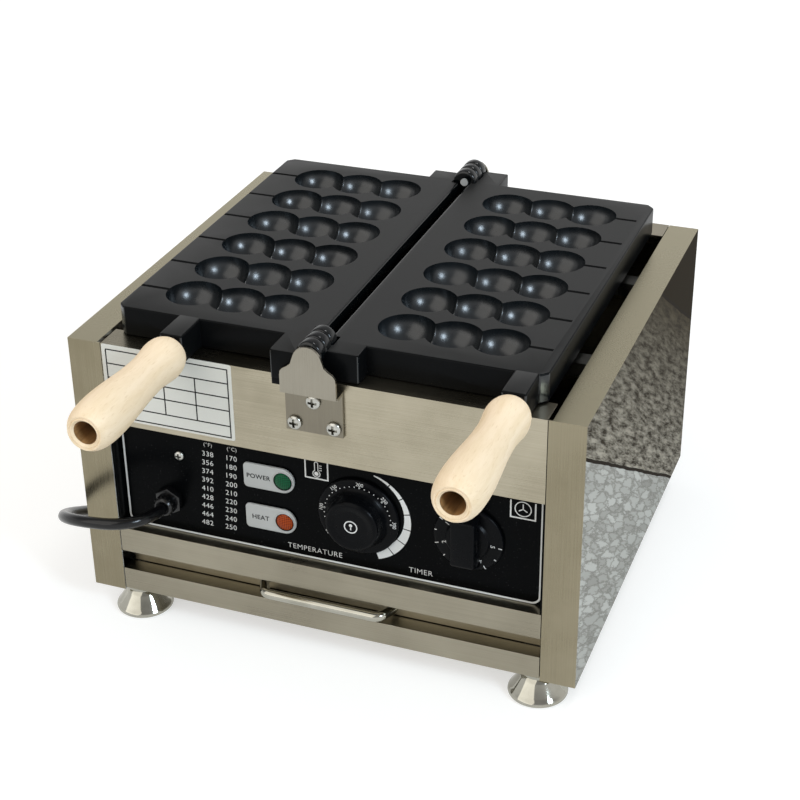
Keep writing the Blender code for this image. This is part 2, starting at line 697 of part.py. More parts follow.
def ball_row(name, radius, steps, skewer_end=None):
    """A row of merged balls turned about Z as one solid, with a skewer's rod from its top ball if asked."""
    neck = math.acos(min(BALL_PITCH / 2 / radius, 1))
    top_ball = BALL_PITCH * (BALLS - 1) / 2
    mouth = math.asin(SKEWER_RADIUS / radius) if skewer_end else 0
    crown = top_ball + radius * math.cos(mouth)
    profile = [(0, crown)]
    if skewer_end:
        profile = [(0, skewer_end), (SKEWER_RADIUS, skewer_end), (SKEWER_RADIUS, crown)]
    for ball in range(BALLS):
        centre = top_ball - BALL_PITCH * ball
        first = mouth if ball == 0 else neck
        last = math.pi if ball == BALLS - 1 else math.pi - neck
        count = steps + (ball in (0, BALLS - 1))
        for step in range(1, count + 1):
            angle = first + (last - first) * step / count
            profile.append((radius * math.sin(angle), centre + radius * math.cos(angle)))
    profile[-1] = (0, profile[-1][1])
    return turned(name, profile, BALL_SEGMENTS)


def plate_half_length():
    """Half of a mould plate's length along the hinge axis."""
    return BODY_DEPTH / 2 - PLATE_SETBACK


def plate_middle_x():
    """The middle of a plate, counted from the hinge axis."""
    return (CENTRE_GAP / 2 + PLATE_OUTER_X) / 2


def knuckle_span(number):
    """The near and far end of one knuckle, counted in from the outermost one at either end."""
    outer = BODY_DEPTH / 2 + BRACKET_REACH - BRACKET_SHEET - TAB_CLEARANCE
    far = outer - number * (KNUCKLE_LENGTH + KNUCKLE_GAP)
    return far - KNUCKLE_LENGTH, far


def along_axis(name, radius, low, high, segments=ROUND_SEGMENTS):
    """A cylinder about the hinge axis, in the plate's own frame."""
    return place(rod(name, radius, -high, -low, segments), (0, 0, 0), FACING_FRONT)


def mould_plate(name, side, handle_x):
    """One casting: deck, skirt, cavities with their bowls, lugs, knuckles and the handle boss.

    It is drawn as the right plate about the hinge axis, and the left plate is the same shape turned
    half round, with the boss at its other end.
    """
    inner = CENTRE_GAP / 2
    outer = PLATE_OUTER_X
    half = plate_half_length()
    top = -MATING_GAP / 2
    bottom = top - PLATE_HEIGHT
    plate = block(name, (inner, -half, bottom), (outer, half, top + OVERRUN))
    edges = plate.modifiers.new("corners", "BEVEL")
    edges.width = CORNER_CHAMFER
    edges.segments = 2
    edges.limit_method = "ANGLE"
    cut(plate, block("hollow", (inner + SKIRT, SKIRT - half, bottom - OVERRUN),
                     (outer - SKIRT, half - SKIRT, top - DECK)))
    middle = plate_middle_x()
    rows = [ROW_PITCH * (row - (ROWS - 1) / 2) for row in range(ROWS)]
    for along in rows:
        bowl = ball_row("bowl", BALL_RADIUS + BOWL_WALL, BOWL_STEPS)
        fuse(plate, place(bowl, (middle, along, 0), (0, math.pi / 2, 0)))
    wall = SKIRT / 2
    inner_near, inner_far = knuckle_span(1)
    outer_near, outer_far = knuckle_span(0)
    fuse(plate, block("inner_lug", (inner + TRIM_STEP, TRIM_STEP - inner_far, bottom + TRIM_STEP),
                      (INNER_LUG_WIDTH, wall - half, top + OVERRUN)))
    fuse(plate, block("outer_lug", (inner + TRIM_STEP, half - wall, bottom + TRIM_STEP),
                      (OUTER_LUG_WIDTH, outer_far - TRIM_STEP, top + OVERRUN)))
    overhang = BODY_DEPTH / 2 + PANEL_GAP * 2
    fuse(plate, block("lug_drop", (inner + TRIM_STEP * 2, overhang, bottom - LUG_DROP),
                      (OUTER_LUG_WIDTH - TRIM_STEP / 2, outer_far - TRIM_STEP * 2, bottom + LUG_DROP)))
    boss_end = -side * (BODY_DEPTH / 2 + BOSS_REACH)
    boss_root = -side * (half - wall)
    ends = sorted((boss_end, boss_root))
    fuse(plate, block("handle_boss", (handle_x - BOSS_WIDTH / 2, ends[0], bottom + TRIM_STEP),
                      (handle_x + BOSS_WIDTH / 2, ends[1], top + OVERRUN)))
    reach = BODY_DEPTH / 2 + BRACKET_REACH + OVERRUN
    cut(plate, block("mating_face", (-OVERRUN, -reach, top),
                     (outer + OVERRUN, reach, top + BALL_RADIUS * 2)))
    inside_near = knuckle_span(KNUCKLES - 1)[0]
    fuse(plate, along_axis("middle_knuckle", KNUCKLE_RADIUS, -inner_far, TRIM_STEP * 2 - inner_near))
    fuse(plate, along_axis("end_knuckles", KNUCKLE_RADIUS, inside_near, outer_far))
    room = KNUCKLE_RADIUS + NOTCH_CLEARANCE
    cut(plate, along_axis("inside_notch", room, -inner_near, NOTCH_RUNOUT - inside_near))
    cut(plate, along_axis("middle_notch", room, inner_near - KNUCKLE_GAP, inner_far + KNUCKLE_GAP))
    cut(plate, along_axis("pin_bore", PIN_RADIUS + PIN_CLEARANCE, -reach, reach, SMALL_SEGMENTS))
    for along in rows:
        cavity = ball_row("cavity", BALL_RADIUS, BALL_STEPS, outer + OVERRUN - middle)
        cut(plate, place(cavity, (middle, along, 0), (0, math.pi / 2, 0)))
    bore = rod("rod_bore", ROD_RADIUS + ROD_CLEARANCE, -BOSS_BORE_DEPTH, OVERRUN)
    turn = FACING_FRONT if side > 0 else FACING_REAR
    cut(plate, place(bore, (handle_x, boss_end, top - HANDLE_DROP), turn))
    anchor = bpy.data.objects.new(name + "_axis", None)
    CUTTERS.objects.link(anchor)
    place(anchor, (0, CENTRE_Y, AXIS_Z), (0, 0, 0 if side > 0 else math.pi))
    for step in plate.modifiers:
        if step.type == "BOOLEAN":
            step.object.parent = anchor
    plate.parent = anchor
    keep(plate, NON_STICK)


def bracket_screw_places():
    """The three screws of a hinge bracket, as (x, z)."""
    low = TOP_Z - LEDGE_DROP - BRACKET_HEIGHT + BRACKET_SCREW_INSET
    return ((-BRACKET_SCREW_SPREAD, low), (BRACKET_SCREW_SPREAD, low), (0, low + BRACKET_SCREW_RISE))


def tab_outline():
    """The bell shape of the bracket's tab, from its foot up and round its crown."""
    half = TAB_WIDTH / 2
    right = [(half, 0)]
    right += [(half * wide, TAB_HEIGHT * up) for wide, up in TAB_SHOULDER_SHARES[::-1]]
    centre = TAB_HEIGHT - TAB_CROWN_RADIUS
    crown = []
    for step in range(1, 12):
        angle = math.pi * step / 12
        crown.append((TAB_CROWN_RADIUS * math.cos(angle), centre + TAB_CROWN_RADIUS * math.sin(angle)))
    left = [(-across, up) for across, up in reversed(right)]
    return right + crown + left


def hinge_bracket(name, end):
    """A bent bracket: screwed plate, ledge outwards and a bell-shaped tab that holds the hinge pin."""
    face_y = (FRONT_Y, REAR_Y)[end > 0] + end * SEAT_GAP
    ledge_z = TOP_Z - LEDGE_DROP
    out_y = (FRONT_Y, REAR_Y)[end > 0] + end * BRACKET_REACH
    span = sorted((face_y, out_y - end * BRACKET_SHEET / 2))
    open_out = "+y" if end > 0 else "-y"
    bracket = folded(name, (-BRACKET_WIDTH / 2, span[0], ledge_z - BRACKET_HEIGHT),
                     (BRACKET_WIDTH / 2, span[1], ledge_z), (open_out, "-z", "-x", "+x"), BRACKET_SHEET)
    tab = flat_piece("bell_tab", tab_outline(), BRACKET_SHEET)
    place(tab, (0, out_y - end * BRACKET_SHEET / 2, ledge_z - BRACKET_SHEET + TRIM_STEP), FACING_FRONT)
    fuse(bracket, tab)
    for across, height in bracket_screw_places():
        hole = rod("bracket_screw_hole", SCREW_RADIUS + SCREW_CLEARANCE,
                   -BRACKET_SHEET * 2, BRACKET_SHEET * 2)
        cut(bracket, place(hole, (across, face_y, height), FACING_FRONT))
    keep(bracket, STAINLESS)


def hinge_pin(name, end):
    """A stub pin that stands on the bracket's tab and carries three knuckles."""
    tab_y = BODY_DEPTH / 2 + BRACKET_REACH - BRACKET_SHEET - SEAT_GAP
    inside = knuckle_span(KNUCKLES - 1)[0] - PIN_PROUD
    pin = rod(name, PIN_RADIUS, inside, tab_y)
    keep(place(pin, (0, CENTRE_Y, AXIS_Z), FACING_REAR if end > 0 else FACING_FRONT), ZINC)


def pan_head_screw(name, head_radius):
    """A pan-head screw about Z: domed head above zero, shank below."""
    return turned(name, [
        (0, SCREW_HEAD_HEIGHT), (head_radius * 0.55, SCREW_HEAD_HEIGHT * 0.93),
        (head_radius * 0.9, SCREW_HEAD_HEIGHT * 0.6), (head_radius, SCREW_HEAD_HEIGHT * 0.2),
        (head_radius, 0), (SCREW_RADIUS, 0), (SCREW_RADIUS, -SCREW_LENGTH), (0, -SCREW_LENGTH),
    ], SCREW_SEGMENTS)


def bracket_screws(name, end):
    """The three screws of one bracket."""
    seat_y = (FRONT_Y, REAR_Y)[end > 0] + end * (SEAT_GAP * 2 + BRACKET_SHEET)
    for word, (across, height) in zip(("left", "right", "top"), bracket_screw_places()):
        screw = pan_head_screw(f"{name}_{word}", SCREW_HEAD_RADIUS)
        keep(place(screw, (across, seat_y, height), FACING_REAR if end > 0 else FACING_FRONT), ZINC)


def handle(word, side, handle_x):
    """A steel rod in the plate's boss, a turned grip on it and the nut in the grip's bored end."""
    across = side * handle_x
    boss_y = FRONT_Y - BOSS_REACH
    nut_length = GRIP_LENGTH + SEAT_GAP - GRIP_POCKET_DEPTH
    rod_end = nut_length + SEAT_GAP + HANDLE_NUT_HEIGHT
    shank = rod(f"handle_rod_{word}", ROD_RADIUS, SEAT_GAP - BOSS_BORE_DEPTH, rod_end)
    keep(place(shank, (across, boss_y, HANDLE_Z), FACING_FRONT), ZINC)
    bore_radius = ROD_RADIUS + ROD_CLEARANCE
    outer = [(GRIP_RADIUS * wide, SEAT_GAP + GRIP_LENGTH * along) for wide, along in GRIP_PROFILE_SHARES]
    pocket_z = SEAT_GAP + GRIP_LENGTH - GRIP_POCKET_DEPTH
    profile = ([(bore_radius, SEAT_GAP), (bore_radius, pocket_z), (GRIP_POCKET_RADIUS, pocket_z),
                (GRIP_POCKET_RADIUS, SEAT_GAP + GRIP_LENGTH)] + outer[::-1])
    grip = turned(f"grip_{word}", profile, ROUND_SEGMENTS, closed=True)
    keep(place(grip, (across, boss_y, HANDLE_Z), FACING_FRONT), BEECH)
    nut = rod(f"handle_nut_{word}", HANDLE_NUT_RADIUS, nut_length + SEAT_GAP, rod_end, 6)
    cut(nut, place(rod("handle_nut_bore", bore_radius, 0, rod_end * 2), (across, boss_y, HANDLE_Z),
                   FACING_FRONT))
    keep(place(nut, (across, boss_y, HANDLE_Z), FACING_FRONT), ZINC)


def element_leg_places(side):
    """Where a heating element's straight legs run, centred under its plate."""
    return [side * (plate_middle_x() + ELEMENT_LEG_PITCH * (leg - (ELEMENT_LEGS - 1) / 2))
            for leg in range(ELEMENT_LEGS)]


def heating_element(name, side):
    """A tubular element that winds under one plate, with its ends down in the control box."""
    front, turn, rear = FRONT_Y + ELEMENT_FRONT_Y, FRONT_Y + ELEMENT_TURN_Y, REAR_Y - ELEMENT_REAR_INSET
    tail_z = CONTROL_BOX_TOP_Z - ELEMENT_TAIL
    legs = element_leg_places(side)
    path = [(legs[0], front, tail_z)]
    for number, across in enumerate(legs):
        near = front if across in (legs[0], legs[-1]) else turn
        run = [(across, near, ELEMENT_Z), (across, rear, ELEMENT_Z)]
        path += run if number % 2 == 0 else run[::-1]
    path.append((legs[-1], front, tail_z))
    keep(tube(name, rounded_path(path, ELEMENT_BEND), ELEMENT_RADIUS, 1), HEATER_STEEL)


def element_supports():
    """Two folded bars across the cabinet that carry the elements."""
    half = HALF_WIDTH - SHEET - SEAT_GAP
    for name, along in zip(("element_support_front", "element_support_rear"), SUPPORT_PLACES):
        bar = folded(name, (-half, along, SUPPORT_TOP_Z - SUPPORT_FOLD),
                     (half, along + SUPPORT_WIDTH, SUPPORT_TOP_Z), ("+y", "-z", "-x", "+x"), SHEET)
        keep(bar, ZINC)


def thermostat():
    """The capillary thermostat behind its knob, and the bulb that lies between the elements."""
    seat_y = PANEL_BACK_Y + SEAT_GAP
    body = rod("thermostat_body", THERMOSTAT_RADIUS, 0, THERMOSTAT_DEPTH, ROUND_SEGMENTS)
    cut(body, place(rod("shaft_socket", SHAFT_RADIUS + SHAFT_CLEARANCE, -OVERRUN, THERMOSTAT_DEPTH / 2),
                    (TEMPERATURE_X, seat_y, KNOB_Z), FACING_REAR))
    keep(place(body, (TEMPERATURE_X, seat_y, KNOB_Z), FACING_REAR), ZINC)
    start_y = seat_y + THERMOSTAT_DEPTH + SEAT_GAP
    bulb_y = SUPPORT_PLACES[0]
    bulb_z = SUPPORT_TOP_Z + BULB_RADIUS + SEAT_GAP
    rise_y = FRONT_Y + ELEMENT_FRONT_Y
    path = rounded_path([
        (TEMPERATURE_X, start_y, KNOB_Z), (TEMPERATURE_X, start_y + ELEMENT_BEND * 1.6, KNOB_Z),
        (TEMPERATURE_X, start_y + ELEMENT_BEND * 1.6, CONTROL_BOX_TOP_Z - ELEMENT_TAIL),
        (0, rise_y, CONTROL_BOX_TOP_Z - ELEMENT_TAIL), (0, rise_y, bulb_z), (0, bulb_y, bulb_z),
    ], ELEMENT_BEND * 0.7)
    shares = [1.0] * len(path)
    full = BULB_RADIUS / PROBE_RADIUS
    path += [Vector((0, bulb_y + OVERRUN, bulb_z)), Vector((0, bulb_y + BULB_LENGTH, bulb_z))]
    shares += [full, full]
    keep(tube("thermostat_probe", path, PROBE_RADIUS, 1, shares), CHROME)


def timer_body():
    """The mechanical timer behind its knob."""
    seat_y = PANEL_BACK_Y + SEAT_GAP
    half = TIMER_BODY_SIZE / 2
    body = block("timer_body", (TIMER_X - half, seat_y, KNOB_Z - half),
                 (TIMER_X + half, seat_y + TIMER_BODY_DEPTH, KNOB_Z + half))
    cut(body, place(rod("timer_socket", SHAFT_RADIUS + SHAFT_CLEARANCE, -OVERRUN, TIMER_BODY_DEPTH / 2),
                    (TIMER_X, seat_y, KNOB_Z), FACING_REAR))
    keep(body, BLACK_PLASTIC)


def knob_shaft(name, across, body_depth):
    """A control's shaft, from inside its body to inside its knob."""
    length = body_depth / 2 - SEAT_GAP + CONTROL_SHEET
    shaft = rod(name, SHAFT_RADIUS, -length, KNOB_GAP + SHAFT_ENGAGEMENT)
    keep(place(shaft, (across, PANEL_FACE_Y, KNOB_Z), FACING_FRONT), ZINC)


def knob_socket(across):
    """The blind hole of a knob."""
    hole = rod("knob_socket", SHAFT_RADIUS + SEAT_GAP, -OVERRUN, KNOB_GAP + SHAFT_ENGAGEMENT + SEAT_GAP)
    return place(hole, (across, PANEL_FACE_Y, KNOB_Z), FACING_FRONT)


def temperature_knob():
    """A round knob: numbered skirt, tapered cap with a soft edge and a shallow dished face."""
    rim = TEMPERATURE_CAP_RADIUS
    front = KNOB_GAP + KNOB_DEPTH
    knob = turned("temperature_knob", [
        (0, front - SHEET), (rim * 0.62, front - SHEET), (rim * 0.80, front),
        (rim * 0.92, front - SHEET / 2), (rim, front - SHEET * 2),
        (TEMPERATURE_CAP_FOOT - SHEET, KNOB_GAP + KNOB_SKIRT * 2),
        (TEMPERATURE_CAP_FOOT, KNOB_GAP + KNOB_SKIRT), (TEMPERATURE_SKIRT_RADIUS - SHEET, KNOB_GAP + KNOB_SKIRT),
        (TEMPERATURE_SKIRT_RADIUS, KNOB_GAP + KNOB_SKIRT / 2), (TEMPERATURE_SKIRT_RADIUS, KNOB_GAP),
        (0, KNOB_GAP),
    ], KNOB_SEGMENTS)
    place(knob, (TEMPERATURE_X, PANEL_FACE_Y, KNOB_Z), FACING_FRONT)
    keep(cut(knob, knob_socket(TEMPERATURE_X)), BLACK_PLASTIC)


def timer_knob():
    """A round knob with a numbered skirt and a straight wedge grip across it."""
    step = KNOB_GAP + KNOB_SKIRT
    hub_top = step + TIMER_HUB_HEIGHT
    knob = turned("timer_knob", [
        (0, hub_top), (TIMER_HUB_RADIUS * 0.85, hub_top), (TIMER_HUB_RADIUS, step),
        (TIMER_SKIRT_RADIUS - SHEET, step), (TIMER_SKIRT_RADIUS, KNOB_GAP + KNOB_SKIRT / 2),
        (TIMER_SKIRT_RADIUS, KNOB_GAP), (0, KNOB_GAP),
    ], KNOB_SEGMENTS)
    place(knob, (TIMER_X, PANEL_FACE_Y, KNOB_Z), FACING_FRONT)
    half = TIMER_GRIP_WIDTH / 2
    length = TIMER_SKIRT_RADIUS - SHEET * 2
    grip = block("timer_grip", (-half, -length, step + TRIM_STEP), (half, length, KNOB_GAP + KNOB_DEPTH))
    round_edges = grip.modifiers.new("soft_edges", "BEVEL")
    round_edges.width = SHEET * 2
    round_edges.segments = 2
    fuse(knob, place(grip, (TIMER_X, PANEL_FACE_Y, KNOB_Z), FACING_FRONT))
    keep(cut(knob, knob_socket(TIMER_X)), BLACK_PLASTIC)


def pilot_lamp(word, centre_z, finish):
    """A lamp: pale front plate with its body through the panel, and a domed lens."""
    plate_y = PANEL_FACE_Y - SEAT_GAP
    lamp = block(f"{word}_lamp", (LAMP_X - LAMP_WIDTH / 2, plate_y - LAMP_PLATE, centre_z - LAMP_HEIGHT / 2),
                 (LAMP_X + LAMP_WIDTH / 2, plate_y, centre_z + LAMP_HEIGHT / 2))
    soft = lamp.modifiers.new("soft_edges", "BEVEL")
    soft.width = SHEET * 0.6
    soft.segments = 1
    fuse(lamp, block("lamp_body", (LAMP_X - LAMP_BODY_WIDTH / 2, plate_y - LAMP_PLATE / 2,
                                   centre_z - LAMP_BODY_HEIGHT / 2),
                     (LAMP_X + LAMP_BODY_WIDTH / 2, PANEL_BACK_Y + LAMP_BODY_DEPTH,
                      centre_z + LAMP_BODY_HEIGHT / 2)))
    seat = (LAMP_X + LENS_OFFSET, plate_y - LAMP_PLATE, centre_z)
    cut(lamp, place(rod("lens_seat", LENS_RADIUS + SEAT_GAP, -SHEET, OVERRUN, ROUND_SEGMENTS), seat,
                    FACING_FRONT))
    keep(lamp, PALE_PLASTIC)
    lens = turned(f"{word}_lens", [
        (0, LENS_RISE), (LENS_RADIUS * 0.5, LENS_RISE * 0.85), (LENS_RADIUS * 0.85, LENS_RISE * 0.45),
        (LENS_RADIUS, 0), (LENS_RADIUS, SEAT_GAP - SHEET), (0, SEAT_GAP - SHEET),
    ])
    keep(place(lens, seat, FACING_FRONT), finish)


def terminal_block():
    """The terminal block for the cord's cores, screwed to the back of the control panel."""
    seat_y = PANEL_BACK_Y + SEAT_GAP
    low = (BLOCK_X - BLOCK_WIDTH / 2, seat_y, BLOCK_Z - BLOCK_HEIGHT / 2)
    high = (BLOCK_X + BLOCK_WIDTH / 2, seat_y + BLOCK_DEPTH, BLOCK_Z + BLOCK_HEIGHT / 2)
    body = block("terminal_block", low, high)
    cut(body, place(rod("block_screw_bore", SCREW_RADIUS + SCREW_CLEARANCE, -OVERRUN, SCREW_LENGTH * 1.5),
                    (BLOCK_X, seat_y, BLOCK_Z), FACING_REAR))
    keep(body, PALE_PLASTIC)
    screw = pan_head_screw("panel_screw", PANEL_SCREW_HEAD)
    keep(place(screw, (BLOCK_X, PANEL_FACE_Y - SEAT_GAP, BLOCK_Z), FACING_FRONT), ZINC)


def cable_gland():
    """The gland that holds the cord in the control panel, with its locknut behind."""
    seat = (GLAND_X, GLAND_Y, GLAND_Z)
    gland = rod("cable_gland", GLAND_HEX_RADIUS, 0, GLAND_HEX_LENGTH, 6)
    dome_top = GLAND_HEX_LENGTH + GLAND_DOME_LENGTH
    dome = turned("gland_dome", [
        (0, dome_top), (GLAND_DOME_RADIUS * 0.72, dome_top),
        (GLAND_DOME_RADIUS * 0.94, dome_top - GLAND_DOME_LENGTH * 0.25),
        (GLAND_DOME_RADIUS, GLAND_HEX_LENGTH + GLAND_DOME_LENGTH * 0.3),
        (GLAND_DOME_RADIUS, GLAND_HEX_LENGTH / 2), (0, GLAND_HEX_LENGTH / 2),
    ])
    thread = rod("gland_thread", GLAND_THREAD_RADIUS, -GLAND_THREAD_LENGTH, GLAND_HEX_LENGTH / 2)
    fuse(gland, place(dome, seat, FACING_FRONT), place(thread, seat, FACING_FRONT))
    keep(place(gland, seat, FACING_FRONT), BLACK_PLASTIC)
    nut_seat = (GLAND_X, PANEL_BACK_Y + SEAT_GAP, GLAND_Z)
    nut = rod("gland_locknut", GLAND_HEX_RADIUS, 0, LOCKNUT_HEIGHT, 6)
    cut(nut, place(rod("locknut_bore", GLAND_THREAD_RADIUS + SEAT_GAP, -OVERRUN, LOCKNUT_HEIGHT + OVERRUN),
                   nut_seat, FACING_REAR))
    keep(place(nut, nut_seat, FACING_REAR), BLACK_PLASTIC)


def crumb_drawer():
    """The shallow tray that slides out below, and its bow handle, one solid with the screws in its ends."""
    half = FRONT_HALF - TRAY_SIDE_GAP
    tray = folded("crumb_tray", (-half, TRAY_FRONT_Y, TRAY_BOTTOM_Z), (half, TRAY_REAR_Y, TRAY_TOP_Z),
                  ("+z",), SHEET)
    handle_z = (TRAY_BOTTOM_Z + TRAY_TOP_Z) / 2
    for side in (-1, 1):
        hole = rod("bow_screw_hole", SCREW_RADIUS + SCREW_CLEARANCE, -OVERRUN, OVERRUN)
        cut(tray, place(hole, (side * BOW_SPAN / 2, TRAY_FRONT_Y, handle_z), FACING_FRONT))
    keep(tray, STAINLESS)
    root_y = TRAY_FRONT_Y - SEAT_GAP
    bar_y = root_y - BOW_REACH
    leg = BOW_SPAN / 2
    bow = tube("drawer_handle", rounded_path([
        (-leg, root_y, handle_z), (-leg, root_y - BOW_RADIUS, handle_z), (BOW_TAPER - leg, bar_y, handle_z),
        (leg - BOW_TAPER, bar_y, handle_z), (leg, root_y - BOW_RADIUS, handle_z), (leg, root_y, handle_z),
    ], BOW_BEND / 2, 3), BOW_RADIUS)
    bow = as_mesh(bow)
    for side in (-1, 1):
        screw = pan_head_screw("bow_screw", BOW_SCREW_HEAD)
        fuse(bow, place(screw, (side * leg, TRAY_FRONT_Y + SHEET + SEAT_GAP, handle_z), FACING_REAR))
    keep(bow, CHROME)


def drawer_runner(name, side):
    """A folded angle on the side panel that carries the tray's edge."""
    outside = HALF_WIDTH - SHEET - SEAT_GAP
    across = sorted((side * outside, side * (outside - RUNNER_WIDTH)))
    open_inner = "-x" if side > 0 else "+x"
    top_z = TRAY_BOTTOM_Z - TRAY_CLEARANCE
    runner = folded(name, (across[0], FRONT_Y + BOTTOM_RAIL_RETURN + PANEL_GAP, top_z - RUNNER_HEIGHT),
                    (across[1], TRAY_REAR_Y, top_z),
                    (open_inner, "-z", "-y", "+y"), SHEET)
    keep(runner, ZINC)


def coil_path():
    """The cord's coil: two layers that spiral in, climb and spiral out at a steady rate."""
    layer_turns = (COIL_TURNS - COIL_CLIMB_TURNS) / 2
    count = round(COIL_TURNS * COIL_POINTS_PER_TURN)
    path = []
    for index in range(count + 1):
        turns = COIL_TURNS * index / count
        inward = min(turns, COIL_TURNS - turns)
        radius = COIL_RADIUS - COIL_PITCH * inward
        climb = min(max((turns - layer_turns) / COIL_CLIMB_TURNS, 0), 1)
        height = COIL_Z + COIL_LAYER_RISE * (3 - 2 * climb) * climb ** 2
        angle = math.pi - math.tau * turns
        path.append(Vector((COIL_X + radius * math.cos(angle), COIL_Y + radius * math.sin(angle), height)))
    lead = CORD_RADIUS * 2
    first = path[0] - Vector((0, lead, 0))
    last = path[-1] + Vector((lead, 0, 0))
    return [first, *path, last]


def least_coil_gap(path):
    """The least gap of the coil's tube to itself, measured between points over a third of a turn apart."""
    skip = COIL_POINTS_PER_TURN // 3
    least = min((path[one] - path[two]).length
                for one in range(len(path)) for two in range(one + skip, len(path)))
    return least - CORD_RADIUS * 2


def power_cord():
    """The free cord, its coil, the tie round the coil and the plug."""
    coil = coil_path()
    straight = Vector((0, CORD_RADIUS, 0))
    start = Vector((GLAND_X, GLAND_Y - GLAND_HEX_LENGTH - GLAND_DOME_LENGTH - SEAT_GAP, GLAND_Z))
    end = coil[0] - Vector((0, SEAT_GAP, 0))
    route = [Vector((inset - HALF_WIDTH, start.y + (end.y - start.y) * back,
                     CORD_RADIUS + (GLAND_Z - CORD_RADIUS) * up)) for inset, back, up in CORD_ROUTE]
    cord = [start, *smooth_route([start - straight, *route, end - straight], CORD_STEP), end]
    keep(tube("power_cord", cord, CORD_RADIUS), BLACK_RUBBER)
    keep(tube("cord_coil", coil, CORD_RADIUS, 1), BLACK_RUBBER)
    print("cord length, metres:", round(path_length(cord) + path_length(coil), 4))
    print("least gap of the coil to itself, millimetres:", round(least_coil_gap(coil) * 1000, 3))
    cord_tie(coil)
    plug(coil[-1])


def cord_tie(coil):
    """A flat band round the coil's two layers, on the side that faces the cabinet."""
    band_angle = -math.pi / 2
    reached = []
    for point in coil[1:-1]:
        across = Vector((point.x - COIL_X, point.y - COIL_Y))
        if abs(math.remainder(math.atan2(across.y, across.x) - band_angle, math.tau)) < math.radians(20):
            reached.append(across.length)
    clear = CORD_RADIUS + SEAT_GAP
    near, far = min(reached) - clear - SEAT_GAP, max(reached) + clear + SEAT_GAP
    low, high = COIL_Z - clear, COIL_Z + COIL_LAYER_RISE + clear
    half = TIE_WIDTH / 2
    band = block("cord_tie", (COIL_X - half, COIL_Y - far - TIE_SHEET, low - TIE_SHEET),
                 (COIL_X + half, COIL_Y - near + TIE_SHEET, high + TIE_SHEET))
    cut(band, block("tie_inside", (COIL_X - TIE_WIDTH, COIL_Y - far, low),
                    (COIL_X + TIE_WIDTH, COIL_Y - near, high)))
    keep(band, BLACK_PLASTIC)


def plug(cord_end):
    """A moulded three-pin plug that lies beside the coil, with its ribbed strain relief drawn plain."""
    start = cord_end + Vector((SEAT_GAP, 0, 0))
    body_x = start.x + RELIEF_LENGTH
    axis_z = start.z
    body = block("cord_plug", (body_x, start.y - PLUG_WIDTH / 2, axis_z - PLUG_HEIGHT / 2),
                 (body_x + PLUG_LENGTH, start.y + PLUG_WIDTH / 2, axis_z + PLUG_HEIGHT / 2))
    soft = body.modifiers.new("soft_edges", "BEVEL")
    soft.width = PLUG_CORNER
    soft.segments = 2
    relief = turned("strain_relief", [
        (0, RELIEF_LENGTH + PLUG_CORNER * 2), (RELIEF_RADIUS, RELIEF_LENGTH + PLUG_CORNER * 2),
        (CORD_RADIUS * 1.1, 0), (0, 0),
    ], SMALL_SEGMENTS)
    fuse(body, place(relief, start, (0, math.pi / 2, 0)))
    face_x = body_x + PLUG_LENGTH
    for side in (-1, 1):
        across = start.y + side * PRONG_SPACING / 2
        low = (face_x - PLUG_CORNER, across - PRONG_THICKNESS / 2, axis_z - PRONG_WIDTH / 2)
        high = (face_x + PRONG_LENGTH, across + PRONG_THICKNESS / 2, axis_z + PRONG_WIDTH / 2)
        fuse(body, block("prong", low, high))
    earth = rod("earth_pin", EARTH_RADIUS, -PLUG_CORNER, PRONG_LENGTH)
    fuse(body, place(earth, (face_x, start.y, axis_z - EARTH_OFFSET), (0, math.pi / 2, 0)))
    keep(body, BLACK_PLASTIC)


side_panel("side_panel_left", -1)
side_panel("side_panel_right", 1)
rear_panel()
front_upper_panel()
front_rails()
control_panel()
base_plate()
control_box()
feet()
mould_plate("mould_plate_left", -1, LEFT_HANDLE_X)
mould_plate("mould_plate_right", 1, RIGHT_HANDLE_X)
hinge_bracket("hinge_bracket_front", -1)
hinge_bracket("hinge_bracket_rear", 1)
hinge_pin("hinge_pin_front", -1)
hinge_pin("hinge_pin_rear", 1)
bracket_screws("hinge_screw_front", -1)
bracket_screws("hinge_screw_rear", 1)
handle("left", -1, LEFT_HANDLE_X)
handle("right", 1, RIGHT_HANDLE_X)
heating_element("heating_element_left", -1)
heating_element("heating_element_right", 1)
element_supports()
thermostat()
timer_body()
knob_shaft("thermostat_shaft", TEMPERATURE_X, THERMOSTAT_DEPTH)
knob_shaft("timer_shaft", TIMER_X, TIMER_BODY_DEPTH)
temperature_knob()
timer_knob()
pilot_lamp("power", POWER_LAMP_Z, GREEN_LENS)
pilot_lamp("heat", HEAT_LAMP_Z, ORANGE_LENS)
terminal_block()
cable_gland()
crumb_drawer()
drawer_runner("drawer_runner_left", -1)
drawer_runner("drawer_runner_right", 1)
power_cord()
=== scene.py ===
"""Looks of a countertop ball-waffle maker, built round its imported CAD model.

Every place is in metres in the model's frame: +X to the right, +Y to the back, +Z up from the floor.
"""
import logging
import math
from dataclasses import dataclass, field
from enum import Enum
from functools import cache
from typing import Callable, Iterable, Sequence

import bmesh
import bpy
from mathutils import Matrix, Vector

